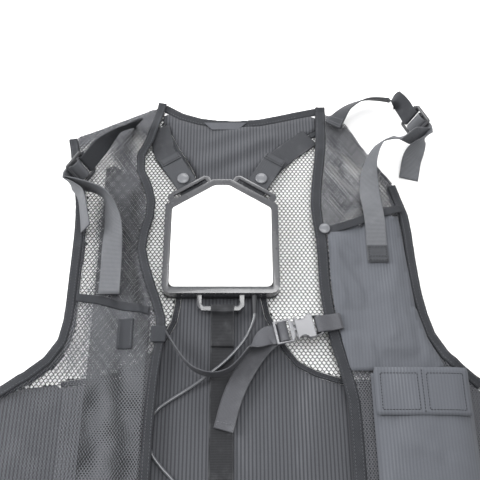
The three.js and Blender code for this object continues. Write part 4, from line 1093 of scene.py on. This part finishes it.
def facePlate(margin=0.9 * mm):
    # The white plate with a soft edge, in a dark ring that is painted shade: it stands in for the shadow line
    # round the plate
    shadow_ring = refined("face_plate", "pod_shadow_ring", "shadow_ring", 0.3 * mm, 2)
    shape = cadShape("face_plate")
    bmesh.ops.dissolve_limit(shape, angle_limit=math.radians(1), verts=shape.verts[:], edges=shape.edges[:])
    top = max(shape.faces, key=lambda f: f.calc_center_median().z)
    bmesh.ops.delete(shape, geom=[f for f in shape.faces if f is not top], context="FACES")
    bmesh.ops.inset_region(shape, faces=shape.faces[:], thickness=margin, use_even_offset=True)
    middle = max(shape.faces, key=lambda f: f.calc_area())
    bmesh.ops.delete(shape, geom=[f for f in shape.faces if f is not middle], context="FACES")
    bottom = min(v.co.y for v in shape.verts)
    middleX = sum((v.co.x for v in shape.verts), 0.0) / len(shape.verts)
    for way in (-1, 1):
        arc = [v for v in shape.verts if v.co.y < bottom + 4 * mm and (v.co.x - middleX) * way > 0]
        kept = max(arc, key=lambda v: (v.co.x - middleX) * way)
        kept.co.y = bottom
        bmesh.ops.dissolve_verts(shape, verts=[v for v in arc if v is not kept])
    bmesh.ops.bevel(shape, geom=[v for v in shape.verts if v.co.y < bottom + 1 * mm], offset=6 * mm,
                    offset_type="OFFSET", segments=8, profile=0.5, affect="VERTICES", clamp_overlap=True,
                    material=-1)
    bmesh.ops.bevel(shape, geom=[v for v in shape.verts if v.co.y > bottom + 30 * mm], offset=2.5 * mm,
                    offset_type="OFFSET", segments=4, profile=0.5, affect="VERTICES", clamp_overlap=True,
                    material=-1)
    side = bmesh.ops.extrude_face_region(shape, geom=shape.faces[:])["geom"]
    raised = [v for v in side if isinstance(v, bmesh.types.BMVert)]
    bmesh.ops.translate(shape, verts=raised, vec=Vector((0, 0, 0.45 * mm)))
    rim = [e for e in shape.edges if all(v in raised for v in e.verts)]
    bmesh.ops.bevel(shape, geom=rim, offset=0.8 * mm, offset_type="OFFSET", segments=4, profile=0.5,
                    affect="EDGES", clamp_overlap=True, material=-1)
    bmesh.ops.recalc_face_normals(shape, faces=shape.faces[:])
    for vertex in shadow_ring.data.vertices:
        vertex.co.z -= 0.5 * mm
    return piece("pod_face", meshOf(shape, "pod_face"), "face", "vest", ("face_plate",))


facePlate()
refined("rear_cover", "pod_cover", "cover", 0.5 * mm, 2)
for side in ("left", "right"):
    refined("ladder_lock_" + side, "ladder_lock_shell_" + side, "lock", 0.7 * mm, 3)
for node, shell, bevel, body in (
    ("buckle_male", "buckle_male_shell", 0.5, "vest"),
    ("buckle_prong_upper", "buckle_prong_shell_upper", 0.5, "prong_upper"),
    ("buckle_prong_lower", "buckle_prong_shell_lower", 0.5, "prong_lower"),
    ("buckle_female", "buckle_female_shell", 0.7, "buckle_socket"),
):
    socket = refined(node, shell, "buckle", bevel * mm, 3, body=body)


window = {"along": -6.5, "out": 12.2, "half length": 5.6, "half width": 4.6}


def releaseWindow(made, way):
    # The opening in the socket's side through which a prong is pressed
    low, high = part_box("buckle_female")
    prongs = [sum(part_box(f"buckle_prong_{end}"), Vector()) / 2 for end in ("upper", "lower")]
    across = (prongs[0] - prongs[1]).to_2d().normalized()
    along = Vector((across.y, -across.x))
    spot = ((low + high) / 2).to_2d() + (along * window["along"] + across * way * window["out"]) * mm
    shape = bmesh.new()
    facing = Matrix.Rotation(math.atan2(along.y, along.x), 4, "Z")
    turned = Matrix.Translation((*spot, (low.z + high.z) / 2)) @ facing
    sized = Matrix.Diagonal((window["half length"] * mm, window["half width"] * mm, 0.02, 1))
    bmesh.ops.create_cone(shape, cap_ends=True, segments=28, radius1=1, radius2=1, depth=1,
                          matrix=turned @ sized)
    cutter = bpy.data.objects.new("window", meshOf(shape, "window"))
    scene.collection.objects.link(cutter)
    modified(made, "BOOLEAN", operation="DIFFERENCE", object=cutter, solver="EXACT")
    bpy.data.objects.remove(cutter)
    for face in made.data.polygons:
        face.use_smooth = False


for way in (-1, 1):
    releaseWindow(socket, way)


def snapCap(node, name, body):
    # A pressed cap: a low dome with a rolled rim and a shallow ring, turned about its own axis
    low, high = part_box(node)
    middle = (low + high) / 2
    radius = (high.x - low.x) / 2
    tall = high.z - low.z
    outline = [(0.0, 0.93), (0.35, 0.91), (0.62, 0.82), (0.7, 0.74), (0.75, 0.72), (0.8, 0.78), (0.88, 0.76),
               (0.96, 0.58), (1.0, 0.36), (1.0, 0.12), (0.95, 0.0)]
    shape = bmesh.new()
    verts = [shape.verts.new((middle.x + r * radius, middle.y, low.z + h * tall)) for r, h in outline]
    edges = [shape.edges.new(pair) for pair in zip(verts, verts[1:])]
    bmesh.ops.spin(shape, geom=verts + edges, cent=middle, axis=(0, 0, 1), angle=2 * math.pi, steps=40,
                   use_merge=True)
    bmesh.ops.remove_doubles(shape, verts=shape.verts[:], dist=0.01 * mm)
    bmesh.ops.recalc_face_normals(shape, faces=shape.faces[:])
    return piece(name, meshOf(shape, name), "snap", body, (node,))


snapCap("snap_cap_left", "snap_dome_left", "flap_left")
snapCap("snap_cap_right", "snap_dome_right", "flap_right")
snapCap("pocket_snap_cap", "pocket_snap_dome", "vest")

for node, look in (("heat_sink", "alloy"), ("thermo_module", "ceramic"), ("fan_rotor", "cover"),
                   ("circuit_board", "board"), *[(f"pod_screw_{k}", "steel") for k in (1, 2, 3, 4)]):
    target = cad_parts[node].data
    target.materials.clear()
    target.materials.append(looks[look])
print("pod")

# ---------- table ----------

tableShape = bmesh.new()
bmesh.ops.create_grid(tableShape, x_segments=8, y_segments=8, size=2.5,
                      matrix=Matrix.Translation((origin.x, origin.y, 0)))
table = bpy.data.objects.new("table", meshOf(tableShape, "table"))
scene.collection.objects.link(table)
tableShade = Shade("table_top")
tableSpot = tableShade.place()
tableShine = tableShade.noise(30, tableSpot) * 0.1 + 0.6
table.data.materials.append(tableShade.finish((0.93, 0.93, 0.93, 1), tableShine))
